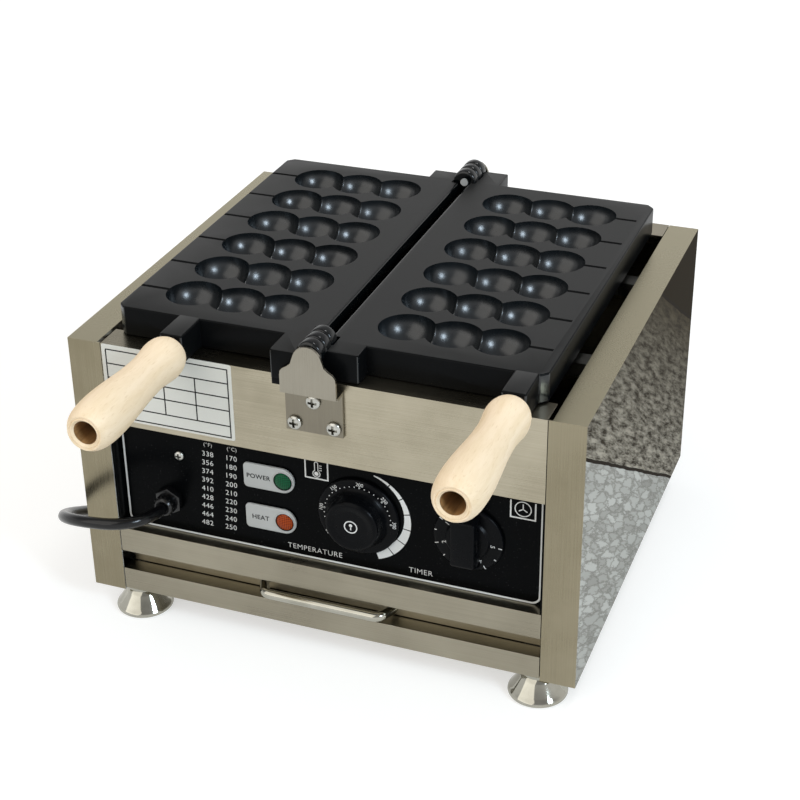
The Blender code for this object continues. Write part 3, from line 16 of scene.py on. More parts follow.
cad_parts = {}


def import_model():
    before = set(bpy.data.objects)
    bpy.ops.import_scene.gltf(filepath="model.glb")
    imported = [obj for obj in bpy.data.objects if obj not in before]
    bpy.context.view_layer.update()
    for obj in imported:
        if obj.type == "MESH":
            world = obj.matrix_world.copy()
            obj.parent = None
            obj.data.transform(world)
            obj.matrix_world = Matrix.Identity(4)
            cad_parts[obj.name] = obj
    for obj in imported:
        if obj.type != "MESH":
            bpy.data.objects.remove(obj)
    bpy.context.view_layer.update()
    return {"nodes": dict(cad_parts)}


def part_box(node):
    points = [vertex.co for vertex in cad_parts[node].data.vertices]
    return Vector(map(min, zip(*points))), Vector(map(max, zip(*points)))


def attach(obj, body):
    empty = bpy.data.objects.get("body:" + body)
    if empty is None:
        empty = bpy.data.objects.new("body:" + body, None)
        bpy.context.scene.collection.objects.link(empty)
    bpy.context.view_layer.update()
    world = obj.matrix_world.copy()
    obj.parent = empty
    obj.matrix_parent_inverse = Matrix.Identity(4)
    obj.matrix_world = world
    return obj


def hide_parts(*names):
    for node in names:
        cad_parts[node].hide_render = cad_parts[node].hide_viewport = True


LOG = logging.getLogger("waffle_maker_looks")

Flat = tuple[float, float]
Colour = tuple[float, float, float, float]
Piece = bpy.types.Object
Tree = bpy.types.NodeTree
Node = bpy.types.Node
Socket = bpy.types.NodeSocket
Shape = bmesh.types.BMesh

# Cabinet places that several pieces share
FRONT_Y = -0.1021
REAR_Y = 0.2149
CENTRE_Y = 0.0564
AXIS_Z = 0.24375
PANEL_FACE_Y = -0.0921
FLOOR_TO_BASE = 0.022
SEAT_GAP = 0.0003
BRACKET_SHEET = 0.002
TEMPERATURE_X = 0.0245
TIMER_X = 0.1020
KNOB_Z = 0.1185
INK = 0.00005
FACING_FRONT = Matrix.Rotation(math.pi / 2, 4, "X")
FACING_REAR = Matrix.Rotation(-math.pi / 2, 4, "X")
FACING_RIGHT = Matrix.Rotation(math.pi / 2, 4, "Y")


class Body(Enum):
    """The bodies of the model that a piece can ride on."""

    CABINET = "cabinet"
    LEFT_MOULD = "left_mould"
    RIGHT_MOULD = "right_mould"
    DRAWER = "drawer"
    TEMPERATURE = "temperature_control"
    TIMER = "timer_control"


class Slot(Enum):
    """The record's material slots that new pieces use."""

    STAINLESS = "stainless"
    CHROME = "chrome"
    ZINC = "zinc"
    NON_STICK = "non_stick"
    BEECH = "beech"
    BLACK_PLASTIC = "black_plastic"
    PALE_PLASTIC = "pale_plastic"
    GREEN_LENS = "green_lens"
    ORANGE_LENS = "orange_lens"
    RUBBER = "cord_rubber"


class Axis(Enum):
    """The direction that a grain or a brush line runs in."""

    X = 0
    Y = 1
    Z = 2


class Hand(Enum):
    """The side of the hinge that a plate lies on."""

    LEFT = -1
    RIGHT = 1

    @property
    def body(self) -> Body:
        """The body that this side's plate and handle ride on."""
        return Body.LEFT_MOULD if self is Hand.LEFT else Body.RIGHT_MOULD

    @property
    def word(self) -> str:
        """The side's name inside the names of pieces."""
        return self.name.lower()


class Carve(Enum):
    """What a shape does to the casting that it meets."""

    JOIN = "UNION"
    CUT = "DIFFERENCE"


def linear(hex_code: str) -> Colour:
    """Turn an sRGB hex colour into a linear one.

    Args:
        hex_code: six hex digits after a hash.

    Returns:
        The linear colour, opaque.
    """
    shares = [int(hex_code[start:start + 2], 16) / 255 for start in (1, 3, 5)]
    red, green, blue = (share / 12.92 if share <= 0.04045 else ((share + 0.055) / 1.055) ** 2.4
                        for share in shares)
    return red, green, blue, 1.0


def add_node(tree: Tree, kind: str, inputs: dict[str | int, object] | None = None,
             **settings: object) -> Node:
    """Add a node with its settings, its input values and its links.

    Args:
        tree: the node tree it goes into.
        kind: the node's type.
        inputs: a value, or a socket to link from, for each input by name or number.
        settings: the node's own properties.

    Returns:
        The new node.
    """
    node = tree.nodes.new(kind)
    for name, value in settings.items():
        setattr(node, name, value)
    for key, value in (inputs or {}).items():
        if isinstance(value, Socket):
            tree.links.new(value, node.inputs[key])
        else:
            node.inputs[key].default_value = value
    return node


def feature_space(tree: Tree, *sizes_mm: float) -> Socket:
    """Object coordinates in which a pattern of scale 1 has features of the sizes given.

    Args:
        tree: the material's nodes.
        sizes_mm: one size in millimetres, or one for each of X, Y and Z.

    Returns:
        The scaled coordinates.
    """
    sizes = sizes_mm if len(sizes_mm) == 3 else sizes_mm * 3
    place = add_node(tree, "ShaderNodeTexCoord")
    return add_node(tree, "ShaderNodeMapping", {
        "Vector": place.outputs["Object"], "Scale": tuple(1000 / size for size in sizes)}).outputs["Vector"]


@dataclass(frozen=True)
class Finish:
    """What every finish has: a name, a base colour and how it takes the light."""

    name: str
    colour: str
    roughness: float
    metallic: float = 0.0
    gleam: float = 0.5

    def material(self) -> bpy.types.Material:
        """Build the material, or return the one of this name.

        Returns:
            The material.
        """
        found = bpy.data.materials.get(self.name)
        if found:
            return found
        made = bpy.data.materials.new(self.name)
        made.use_nodes = True
        made.diffuse_color = linear(self.colour)
        tree = made.node_tree
        tree.nodes.clear()
        shader = add_node(tree, "ShaderNodeBsdfPrincipled", {
            "Metallic": self.metallic, "Specular IOR Level": self.gleam, **self.surface(tree)})
        add_node(tree, "ShaderNodeOutputMaterial", {"Surface": shader.outputs["BSDF"]})
        return made

    def surface(self, tree: Tree) -> dict[str, object]:
        """Build the pattern that this kind of surface shows.

        Args:
            tree: the material's nodes.

        Returns:
            The values and sockets of the shader's inputs.
        """
        raise NotImplementedError


@dataclass(frozen=True)
class BrushedSheet(Finish):
    """Stainless steel sheet with a fine satin face.

    The belt leaves fine straight scratches, which stretch each highlight across themselves, and handling
    leaves soft clouds of slightly different gloss. Real scratches are too fine to show here, so they are
    drawn about five times as coarse and faint.
    """

    dark: str = "#948D7A"
    brush: Axis = Axis.X
    scratch_mm: float = 0.5
    scratch_length_mm: float = 80.0
    scratch_share: float = 0.30
    cloud_mm: float = 70.0
    span: Flat = (0.36, 0.64)
    contrast: float = 0.05
    relief: float = 0.03
    relief_depth: float = 0.00008

    def surface(self, tree: Tree) -> dict[str, object]:
        """Lay scratches along the brush direction and clouds of handling.

        Args:
            tree: the material's nodes.

        Returns:
            The values and sockets of the shader's inputs.
        """
        sizes = [self.scratch_mm] * 3
        sizes[self.brush.value] = self.scratch_length_mm
        scratches = add_node(tree, "ShaderNodeTexNoise", {
            "Vector": feature_space(tree, *sizes), "Scale": 1.0, "Detail": 3.0, "Roughness": 0.6})
        clouds = add_node(tree, "ShaderNodeTexNoise", {
            "Vector": feature_space(tree, self.cloud_mm), "Scale": 1.0, "Detail": 4.0})
        both = add_node(tree, "ShaderNodeMix", {
            0: self.scratch_share, 2: clouds.outputs["Fac"], 3: scratches.outputs["Fac"]})
        level = add_node(tree, "ShaderNodeMapRange", {
            "Value": both.outputs[0], "From Min": self.span[0], "From Max": self.span[1]})
        gloss = add_node(tree, "ShaderNodeMapRange", {
            "Value": level.outputs[0], "To Min": self.roughness - self.contrast,
            "To Max": self.roughness + self.contrast})
        tone = add_node(tree, "ShaderNodeMix", {
            0: level.outputs[0], 6: linear(self.dark), 7: linear(self.colour)}, data_type="RGBA")
        relief = add_node(tree, "ShaderNodeBump", {
            "Height": scratches.outputs["Fac"], "Strength": self.relief, "Distance": self.relief_depth})
        return {"Base Color": tone.outputs[2], "Roughness": gloss.outputs[0], "Normal": relief.outputs[0]}


@dataclass(frozen=True)
class TwoFacedSheet(BrushedSheet):
    """Stainless sheet that is brushed, but polished where it faces right.

    The polished side is nearly a mirror, and its colour is a painted reflection: a paved floor in pale
    flakes with darker joints, brown mottles above a seam that runs down to the rear, and a dark band in
    the upper rear corner. The sizes are the flakes' and mottles' length along Y and their height.
    """

    mirror: float = 0.14
    metal: float = 0.05
    slope: float = 0.626
    seam_at: float = 0.1986
    band_at: float = 0.345
    seam_half: float = 0.0014
    bend_mm: float = 60.0
    bend_height: float = 0.006
    # Faces that look up take this lighter colour: a painted highlight of the light from above
    top: str = "#B9B196"
    flake_mm: Flat = (26.0, 6.5)
    warp: float = 1.6
    joint_reach: float = 0.14
    joint_light: float = 0.3
    flake_light_least: float = 0.35
    mottle_mm: Flat = (26.0, 4.5)
    mottle_span: Flat = (0.40, 0.62)
    # The colours of the painted reflection on the polished side: the floor's flakes, the mottles, the band and
    # the seam
    flake_light: str = "#C8C6BE"
    flake_dark: str = "#77736A"
    mottle_light: str = "#AEA696"
    mottle_far: str = "#483F2E"
    mottle_dark: str = "#352E24"
    band: str = "#271F12"
    seam: str = "#261F17"

    def surface(self, tree: Tree) -> dict[str, object]:
        """Choose between the brushed front and the polished side, with its painted reflection, by the way that
        a face looks, and paint a highlight on faces that look up.

        Args:
            tree: the material's nodes.

        Returns:
            The values and sockets of the shader's inputs.
        """
        brushed = super().surface(tree)
        spot = add_node(tree, "ShaderNodeTexCoord")
        facing = add_node(tree, "ShaderNodeSeparateXYZ", {0: spot.outputs["Normal"]})
        place = add_node(tree, "ShaderNodeSeparateXYZ", {0: spot.outputs["Object"]})
        side = add_node(tree, "ShaderNodeMath", {0: facing.outputs["X"], 1: 0.5}, operation="GREATER_THAN")
        bend = add_node(tree, "ShaderNodeTexNoise", {
            "Vector": feature_space(tree, self.bend_mm), "Scale": 1.0, "Detail": 2.0})
        lean = add_node(tree, "ShaderNodeMath", {
            0: place.outputs["Y"], 1: self.slope, 2: place.outputs["Z"]}, operation="MULTIPLY_ADD")
        lift = add_node(tree, "ShaderNodeMath", {
            0: bend.outputs["Fac"], 1: self.bend_height, 2: lean.outputs[0]}, operation="MULTIPLY_ADD")
        height = add_node(tree, "ShaderNodeMath", {
            0: lift.outputs[0], 1: self.bend_height / 2 + self.slope * FRONT_Y},
            operation="SUBTRACT").outputs[0]
        plane = add_node(tree, "ShaderNodeCombineXYZ", {"Y": place.outputs["Y"], "Z": height})
        flake_space, mottle_space = (add_node(tree, "ShaderNodeVectorMath", {
            0: plane.outputs[0], 1: (1.0, 1000 / long, 1000 / tall)}, operation="MULTIPLY").outputs[0]
            for long, tall in (self.flake_mm, self.mottle_mm))
        mottles = add_node(tree, "ShaderNodeTexNoise", {
            "Vector": mottle_space, "Scale": 1.0, "Detail": 6.0, "Roughness": 0.75})
        warped = add_node(tree, "ShaderNodeVectorMath", {
            0: mottles.outputs["Color"], 1: (self.warp,) * 3, 2: flake_space}, operation="MULTIPLY_ADD")
        joints = add_node(tree, "ShaderNodeTexVoronoi", {"Vector": warped.outputs[0], "Scale": 1.0},
                          feature="DISTANCE_TO_EDGE")
        inside = add_node(tree, "ShaderNodeMapRange", {
            "Value": joints.outputs["Distance"], "From Max": self.joint_reach, "To Min": self.joint_light})
        flakes = add_node(tree, "ShaderNodeTexVoronoi", {"Vector": warped.outputs[0], "Scale": 1.0})
        tint = add_node(tree, "ShaderNodeMapRange", {
            "Value": flakes.outputs["Color"], "To Min": self.flake_light_least})
        flake = add_node(tree, "ShaderNodeMath", {0: inside.outputs[0], 1: tint.outputs[0]},
                         operation="MULTIPLY")
        mottle = add_node(tree, "ShaderNodeMapRange", {
            "Value": mottles.outputs["Fac"], "From Min": self.mottle_span[0], "From Max": self.mottle_span[1]})
        rise = add_node(tree, "ShaderNodeMapRange", {
            "Value": height, "From Min": self.seam_at, "From Max": self.band_at})
        upward = add_node(tree, "ShaderNodeMath", {0: facing.outputs["Z"], 1: 0.5}, operation="GREATER_THAN")
        (over_seam, on_seam), (over_band, on_band) = ([
            add_node(tree, "ShaderNodeMath", {0: height, 1: start, 2: self.seam_half}, operation=test)
            for test in ("GREATER_THAN", "COMPARE")] for start in (self.seam_at, self.band_at))
        tones = {name: linear(getattr(self, name)) for name in (
            "flake_light", "flake_dark", "mottle_light", "mottle_far", "mottle_dark", "band", "seam", "top")}
        tones["brushed"] = brushed["Base Color"]
        for name, share, low, high in (
                ("fading", rise, "mottle_light", "mottle_far"), ("above", mottle, "mottle_dark", "fading"),
                ("paved", flake, "flake_dark", "flake_light"), ("split", over_seam, "paved", "above"),
                ("seamed", on_seam, "split", "seam"), ("banded", over_band, "seamed", "band"),
                ("polished", on_band, "banded", "seam"), ("front", upward, "brushed", "top"),
                ("whole", side, "front", "polished")):
            tones[name] = add_node(tree, "ShaderNodeMix", {
                0: share.outputs[0], 6: tones[low], 7: tones[high]}, data_type="RGBA").outputs[2]
        gloss, metal = (add_node(tree, "ShaderNodeMix", {0: side.outputs[0], 2: low, 3: high})
                        for low, high in ((brushed["Roughness"], self.mirror), (self.metallic, self.metal)))
        return {**brushed, "Base Color": tones["whole"], "Roughness": gloss.outputs[0],
                "Metallic": metal.outputs[0]}


@dataclass(frozen=True)
class TurnedBeech(Finish):
    """Turned beech, sanded and left unvarnished, with its grain along the grip.

    Beech is pale and even, with faint growth bands and short darker flecks that run with the grain.
    """

    band: str = "#EDD5B1"
    fleck: str = "#D8BA8C"
    band_mm: float = 6.0
    band_span: Flat = (0.34, 0.60)
    fleck_mm: float = 0.8
    fleck_length_mm: float = 9.0
    fleck_span: Flat = (0.58, 0.74)
    fleck_share: float = 0.45
    nap: float = 0.2
    nap_depth: float = 0.00012

    def surface(self, tree: Tree) -> dict[str, object]:
        """Lay growth bands, flecks and a sanded nap along Y.

        Args:
            tree: the material's nodes.

        Returns:
            The values and sockets of the shader's inputs.
        """
        bands = add_node(tree, "ShaderNodeTexNoise", {
            "Vector": feature_space(tree, self.band_mm, self.band_mm * 10, self.band_mm), "Scale": 1.0,
            "Detail": 6.0, "Roughness": 0.62})
        wide = add_node(tree, "ShaderNodeMapRange", {
            "Value": bands.outputs["Fac"], "From Min": self.band_span[0], "From Max": self.band_span[1]})
        under = add_node(tree, "ShaderNodeMix", {
            0: wide.outputs[0], 6: linear(self.band), 7: linear(self.colour)}, data_type="RGBA")
        flecks = add_node(tree, "ShaderNodeTexNoise", {
            "Vector": feature_space(tree, self.fleck_mm, self.fleck_length_mm, self.fleck_mm), "Scale": 1.0,
            "Detail": 2.0})
        strong = add_node(tree, "ShaderNodeMapRange", {
            "Value": flecks.outputs["Fac"], "From Min": self.fleck_span[0], "From Max": self.fleck_span[1],
            "To Max": self.fleck_share})
        tone = add_node(tree, "ShaderNodeMix", {
            0: strong.outputs[0], 6: under.outputs[2], 7: linear(self.fleck)}, data_type="RGBA")
        nap = add_node(tree, "ShaderNodeBump", {
            "Height": flecks.outputs["Fac"], "Strength": self.nap, "Distance": self.nap_depth})
        return {"Base Color": tone.outputs[2], "Roughness": self.roughness, "Normal": nap.outputs[0]}


@dataclass(frozen=True)
class SquaredLens(Finish):
    """A tinted acrylic lens, unlit, whose inner face is moulded in small squares that catch the light."""

    deep: str = "#00301C"
    pitch_mm: float = 1.3
    span: float = 1.6
    relief: float = 0.25
    relief_depth: float = 0.00015
    coat: float = 0.1
    coat_roughness: float = 0.04

    def surface(self, tree: Tree) -> dict[str, object]:
        """Lay a grid of small squares, light in the middle and dark between, under a glossy face.

        Args:
            tree: the material's nodes.

        Returns:
            The values and sockets of the shader's inputs.
        """
        axes = add_node(tree, "ShaderNodeSeparateXYZ", {0: feature_space(tree, self.pitch_mm / math.tau)})
        across, upright = (add_node(tree, "ShaderNodeMath", {0: axes.outputs[name]}, operation="SINE")
                           for name in ("X", "Z"))
        squares = add_node(tree, "ShaderNodeMath", {0: across.outputs[0], 1: upright.outputs[0]},
                           operation="ADD")
        level = add_node(tree, "ShaderNodeMapRange", {
            "Value": squares.outputs[0], "From Min": -self.span, "From Max": self.span})
        tone = add_node(tree, "ShaderNodeMix", {
            0: level.outputs[0], 6: linear(self.deep), 7: linear(self.colour)}, data_type="RGBA")
        relief = add_node(tree, "ShaderNodeBump", {
            "Height": level.outputs[0], "Strength": self.relief, "Distance": self.relief_depth})
        return {"Base Color": tone.outputs[2], "Roughness": self.roughness, "Normal": relief.outputs[0],
                "Coat Weight": self.coat, "Coat Roughness": self.coat_roughness}


@dataclass(frozen=True)
class Clouded(Finish):
    """A surface whose tone and gloss drift in clouds, over a finer relief.

    The tone goes from the other colour to the finish's own as the clouds rise, or back where own_first is
    set. A span is the part of the clouds' range that counts, and swing is how far the gloss moves.
    """

    other: str = "#808080"
    own_first: bool = False
    cloud_mm: float = 9.0
    cloud_detail: float = 4.0
    cloud_rough: float = 0.5
    tone_span: Flat = (0.0, 1.0)
    gloss_span: Flat = (0.0, 1.0)
    swing: Flat = (0.0, 0.0)
    relief_mm: float = 1.0
    relief_detail: float = 2.0
    relief_rough: float = 0.5
    relief: float = 0.0
    relief_depth: float = 0.00005

    def surface(self, tree: Tree) -> dict[str, object]:
        """Lay the clouds, and the relief where the finish has one.

        Args:
            tree: the material's nodes.

        Returns:
            The values and sockets of the shader's inputs.
        """
        clouds = add_node(tree, "ShaderNodeTexNoise", {
            "Vector": feature_space(tree, self.cloud_mm), "Scale": 1.0, "Detail": self.cloud_detail,
            "Roughness": self.cloud_rough})
        level = add_node(tree, "ShaderNodeMapRange", {
            "Value": clouds.outputs["Fac"], "From Min": self.tone_span[0], "From Max": self.tone_span[1]})
        low, high = (self.colour, self.other) if self.own_first else (self.other, self.colour)
        tone = add_node(tree, "ShaderNodeMix", {
            0: level.outputs[0], 6: linear(low), 7: linear(high)}, data_type="RGBA")
        made = {"Base Color": tone.outputs[2], "Roughness": self.roughness}
        if any(self.swing):
            made["Roughness"] = add_node(tree, "ShaderNodeMapRange", {
                "Value": clouds.outputs["Fac"], "From Min": self.gloss_span[0], "From Max": self.gloss_span[1],
                "To Min": self.roughness + self.swing[0], "To Max": self.roughness + self.swing[1]}).outputs[0]
        if self.relief:
            grain = add_node(tree, "ShaderNodeTexNoise", {
                "Vector": feature_space(tree, self.relief_mm), "Scale": 1.0, "Detail": self.relief_detail,
                "Roughness": self.relief_rough})
            made["Normal"] = add_node(tree, "ShaderNodeBump", {
                "Height": grain.outputs["Fac"], "Strength": self.relief,
                "Distance": self.relief_depth}).outputs[0]
        return made


@dataclass(frozen=True)
class PlatedMetal(Clouded):
    """Plated steel, bright chrome or zinc, with a faint film of handling in its gloss."""

    other: str = "#A8A7A0"
    cloud_mm: float = 14.0
    cloud_detail: float = 5.0
    gloss_span: Flat = (0.3, 0.7)
    swing: Flat = (0.0, 0.05)


@dataclass(frozen=True)
class NonStickCasting(Clouded):
    """Cast aluminium under a sprayed black non-stick coat.

    The flat faces keep a fine orange peel. The plates' tops are given a greyer colour than their sides, as
    painted light from above. The turned cavities are smooth and glossy.
    """

    own_first: bool = True
    cloud_mm: float = 34.0
    cloud_detail: float = 5.0
    cloud_rough: float = 0.6
    tone_span: Flat = (0.3, 0.7)
    gloss_span: Flat = (0.3, 0.7)
    swing: Flat = (-0.03, 0.05)
    relief_mm: float = 0.7
    relief: float = 0.25
    relief_depth: float = 0.00006


@dataclass(frozen=True)
class MouldedPlastic(Clouded):
    """Injection-moulded plastic with the fine even texture of its spark-eroded mould."""

    own_first: bool = True
    cloud_detail: float = 3.0
    swing: Flat = (-0.06, 0.06)
    relief_mm: float = 0.35
    relief: float = 0.15
    relief_depth: float = 0.00003


@dataclass(frozen=True)
class PaintedSheet(Clouded):
    """Semi-gloss black paint on steel: nearly black, with a soft orange peel and a few dust specks."""

    other: str = "#2A2A2B"
    own_first: bool = True
    cloud_mm: float = 1.1
    cloud_detail: float = 1.0
    tone_span: Flat = (0.70, 0.80)
    relief_mm: float = 3.0
    relief_detail: float = 1.0
    relief: float = 0.08


@dataclass(frozen=True)
class PrintedFilm(Clouded):
    """Screen-printed ink or label film: flat colour with the faint uneven cover of the screen."""

    other: str = "#D5D6D4"
    cloud_mm: float = 0.5
    cloud_detail: float = 2.0
    swing: Flat = (-0.08, 0.08)


@dataclass(frozen=True)
class CordSheath(Clouded):
    """Extruded black cord sheath, slightly glossy, with the shallow waviness of its twisted cores."""

    own_first: bool = True
    cloud_mm: float = 6.0
    cloud_rough: float = 0.6
    swing: Flat = (-0.08, 0.14)
    relief_mm: float = 6.0
    relief_detail: float = 4.0
    relief_rough: float = 0.6
    relief: float = 0.12
    relief_depth: float = 0.00025


@dataclass(frozen=True)
class HeatedSheath(Clouded):
    """A nickel-steel element sheath that heat has turned olive, brown and blue-grey in bands."""

    other: str = "#3D4347"
    cloud_mm: float = 22.0
    tone_span: Flat = (0.36, 0.64)
    relief_mm: float = 0.5
    relief: float = 0.15
    relief_depth: float = 0.00004


# Satin stainless of the front: warm grey, with highlights drawn out across the brush lines
FRONT_SHEET = BrushedSheet("satin stainless sheet, brushed across", "#B3AB98", 0.28, 1.0)
# Side panels: a satin front post and a side that is almost a mirror, coloured with a painted reflection of a
# paved floor; faces that look up get a painted highlight
SIDE_SHEET = TwoFacedSheet("stainless side, brushed post and polished side", "#938B76", 0.28, 1.0,
                           gleam=0.0, dark="#817964", brush=Axis.Z)
# Rails and tray below the panel: the same sheet, where it mirrors a darker floor
RAIL_SHEET = BrushedSheet("satin stainless rail, brushed across", "#9A9484", 0.30, 1.0, dark="#847E6F")
# Hinge brackets: an upright brush, a little brighter than the panel, and darker where the tab shades it
TAB_SHEET = BrushedSheet("satin stainless bracket, brushed upright", "#9B968A", 0.30, 1.0, dark="#8B867A",
                         brush=Axis.Z, scratch_length_mm=25.0)
SHADED_SHEET = BrushedSheet("satin stainless in the shade of the tab", "#858072", 0.34, 1.0, dark="#777165",
                            brush=Axis.Z, scratch_length_mm=25.0)
# Feet and drawer bow: bright, with sharp dark and light reflections
CHROME = PlatedMetal("bright chrome plate", "#B6B4AA", 0.06, 1.0, other="#8E8C80")
# Screws, rods and hidden brackets: paler and softer than chrome
ZINC = PlatedMetal("zinc-plated steel", "#C2C2BD", 0.24, 1.0, swing=(0.0, 0.12))
# Hinge pins: their ground ends are dull and light
PIN_STEEL = PlatedMetal("ground steel pin", "#B9BAB8", 0.55, 0.25, other="#A3A4A1")
# Mould plates: dark grey on top where the spray is rough, and black on their sides and underside, a painted
# shade; glossy where they were turned smooth, with a blue-green cast that is a painted reflection of cool light
PLATE_FACE = NonStickCasting("sprayed non-stick on cast aluminium", "#1A1A1A", 0.42, gleam=0.22,
                             other="#252524")
SHADED_PLATE_SIDE = NonStickCasting("non-stick on the casting's sides", "#08090A", 0.30, gleam=0.05, other="#0D0E0F")
# The blue-green cast of these colours is a painted reflection of the cool light that the cavities mirror
PLATE_CAVITY = NonStickCasting("smooth non-stick in turned cavities", "#04080B", 0.26, other="#081015",
                               relief_mm=1.6, relief=0.06, gleam=0.6)
PLATE_KNUCKLE = NonStickCasting("smooth non-stick on turned knuckles", "#040607", 0.17, other="#070A0B",
                                relief_mm=1.6, relief=0.04, gleam=0.4)
# Grips: pale sanded wood, and darker wood inside the bore, partly the end grain's own tone and partly painted
# shade of the deep hole
BEECH = TurnedBeech("turned beech, sanded", "#F6E0C1", 0.62, gleam=0.3)
SHADED_BORE_BEECH = TurnedBeech("bored end grain of beech", "#A97E4C", 0.75, band="#7C5930", fleck="#5E4222")
# Control panel: near black, with soft reflections of the knobs
PANEL_PAINT = PaintedSheet("semi-gloss black paint", "#040506", 0.25, gleam=0.035)
# Knobs: hard and slightly glossy
PHENOLIC = MouldedPlastic("moulded black phenolic", "#050608", 0.28, gleam=0.07, other="#090A0C")
# Gland, plug and tie: black, with soft highlights on their edges
NYLON = MouldedPlastic("moulded black nylon", "#060607", 0.25, gleam=0.45, other="#0B0B0C")
# Lamp plates and the terminal block: even pale grey
POLYCARBONATE = MouldedPlastic("moulded pale grey polycarbonate", "#BABCBB", 0.36, gleam=0.35, other="#B2B5B4")
# Lamp lenses: glassy, with a glint over small dark squares
GREEN = SquaredLens("green acrylic lens", "#03633A", 0.22, gleam=0.1, deep="#012B1B")
ORANGE = SquaredLens("orange acrylic lens", "#B64A12", 0.22, gleam=0.1, deep="#591C03")
# Printing: matt and flat
WHITE_INK = PrintedFilm("white screen ink", "#E4E5E3", 0.45)
BLACK_INK = PrintedFilm("black screen ink", "#121213", 0.45, gleam=0.15, other="#1A1A1B")
LABEL_FILM = PrintedFilm("satin white label film", "#DADAD3", 0.40, other="#D2D2CB")
# Mains cord: black with a bright line of light along it
SHEATH = CordSheath("extruded black cord sheath", "#050506", 0.18, gleam=0.35, other="#0A0A0C")
# Heating elements: dull, coloured by heat
HEATER = HeatedSheath("heat-coloured element sheath", "#5A5246", 0.42, 1.0)


def link(item: Piece) -> Piece:
    """Put an object in the scene."""
    bpy.context.scene.collection.objects.link(item)
    return item


def solid(name: str, shape: Shape) -> Piece:
    """Turn a bmesh into an object, with merged points and faces that point outwards.

    Args:
        name: the object's name.
        shape: the bmesh, which is freed.

    Returns:
        The object.
    """
    bmesh.ops.remove_doubles(shape, verts=shape.verts, dist=0.000005)
    bmesh.ops.recalc_face_normals(shape, faces=shape.faces)
    mesh = bpy.data.meshes.new(name)
    shape.to_mesh(mesh)
    shape.free()
    return link(bpy.data.objects.new(name, mesh))


def soften(shape: Shape, radius: float, steps: int = 2) -> None:
    """Round every edge of a bmesh.

    Args:
        shape: the bmesh.
        radius: the radius of its edges.
        steps: the facets of each rounded edge.
    """
    bmesh.ops.bevel(shape, geom=shape.edges, offset=radius, segments=steps, profile=0.5, affect="EDGES",
                    clamp_overlap=True)


def block(name: str, low: Sequence[float], high: Sequence[float], soft: float = 0.0,
          steps: int = 2) -> Piece:
    """A box between two corners, with rounded edges if asked.

    Args:
        name: the object's name.
        low: its lowest corner.
        high: its highest corner.
        soft: the radius of its edges.
        steps: the facets of each rounded edge.

    Returns:
        The box.
    """
    shape = bmesh.new()
    bmesh.ops.create_cube(shape, size=1.0)
    bmesh.ops.scale(shape, vec=Vector(high) - Vector(low), verts=shape.verts)
    bmesh.ops.translate(shape, vec=(Vector(low) + Vector(high)) / 2, verts=shape.verts)
    if soft:
        soften(shape, soft, steps)
    return solid(name, shape)


def hexagon(name: str, radius: float, low: float, high: float, soft: float) -> Piece:
    """A hexagon about Z, as a nut has, with rounded edges.

    Args:
        name: the object's name.
        radius: how far its corners are from the axis.
        low: the height of its underside.
        high: the height of its top.
        soft: the radius of its edges.

    Returns:
        The hexagon.
    """
    shape = bmesh.new()
    bmesh.ops.create_cone(shape, cap_ends=True, segments=6, radius1=radius, radius2=radius, depth=high - low)
    bmesh.ops.translate(shape, vec=(0, 0, (high + low) / 2), verts=shape.verts)
    soften(shape, soft)
    return solid(name, shape)


def round_edges(item: Piece, width: float, segments: int, limit: float = 30.0) -> Piece:
    """Round an object's sharp edges and make it plain.

    Args:
        item: the object, which is replaced.
        width: the width of the rounding.
        segments: the facets of each rounded edge.
        limit: the angle in degrees from which an edge counts as sharp.

    Returns:
        The plain object.
    """
    edges = item.modifiers.new("rounded_edges", "BEVEL")
    edges.width = width
    edges.segments = segments
    edges.limit_method = "ANGLE"
    edges.angle_limit = math.radians(limit)
    return plain(item)


def lathe(name: str, profile: Sequence[Flat], segments: int = 48, ring: bool = False) -> Piece:
    """A solid turned about Z from (radius, height) points.

    Args:
        name: the object's name.
        profile: the outline, from axis to axis, or a closed section where ring is set.
        segments: the facets round it.
        ring: whether the profile closes on itself, clear of the axis.

    Returns:
        The solid.
    """
    shape = bmesh.new()
    verts = [shape.verts.new((radius, 0, height)) for radius, height in profile]
    edges = [shape.edges.new(pair) for pair in zip(verts, verts[1:])]
    if ring:
        edges.append(shape.edges.new((verts[-1], verts[0])))
    bmesh.ops.spin(shape, geom=verts + edges, cent=(0, 0, 0), axis=(0, 0, 1), angle=math.tau,
                   steps=segments, use_merge=True)
    return solid(name, shape)


def rounded(profile: Sequence[Flat], radius: float, steps: int = 3) -> list[Flat]:
    """Round the corners between the ends of an outline.

    Args:
        profile: the outline's points.
        radius: the corner's radius, less where its sides are short.
        steps: the facets of a corner.

    Returns:
        The outline with arcs at its corners.
    """
    made: list[Flat] = [profile[0]]
    for before, corner, after in zip(profile, profile[1:], profile[2:]):
        here = Vector(corner)
        back, ahead = Vector(before) - here, Vector(after) - here
        reach = min(radius, back.length * 0.45, ahead.length * 0.45)
        start, end = here + back.normalized() * reach, here + ahead.normalized() * reach
        for step in range(steps + 1):
            share = step / steps
            point = start * (1 - share) ** 2 + here * 2 * share * (1 - share) + end * share ** 2
            made.append((point.x, point.y))
    made.append(profile[-1])
    return made


def smooth_through(points: Sequence[Vector], step: float) -> list[Vector]:
    """A Catmull-Rom line through points, cut into even steps.

    Args:
        points: the points.
        step: the length of a piece.

    Returns:
        The line's points.
    """
    guides = [points[0] * 2 - points[1], *points, points[-1] * 2 - points[-2]]
    line: list[Vector] = []
    for before, start, end, after in zip(guides, guides[1:], guides[2:], guides[3:]):
        count = max(2, math.ceil((end - start).length / step))
        for index in range(count):
            share = index / count
            line.append((start * 2 + (end - before) * share
                         + (before * 2 - start * 5 + end * 4 - after) * share ** 2
                         + (start * 3 - before - end * 3 + after) * share ** 3) / 2)
    line.append(points[-1].copy())
    return line


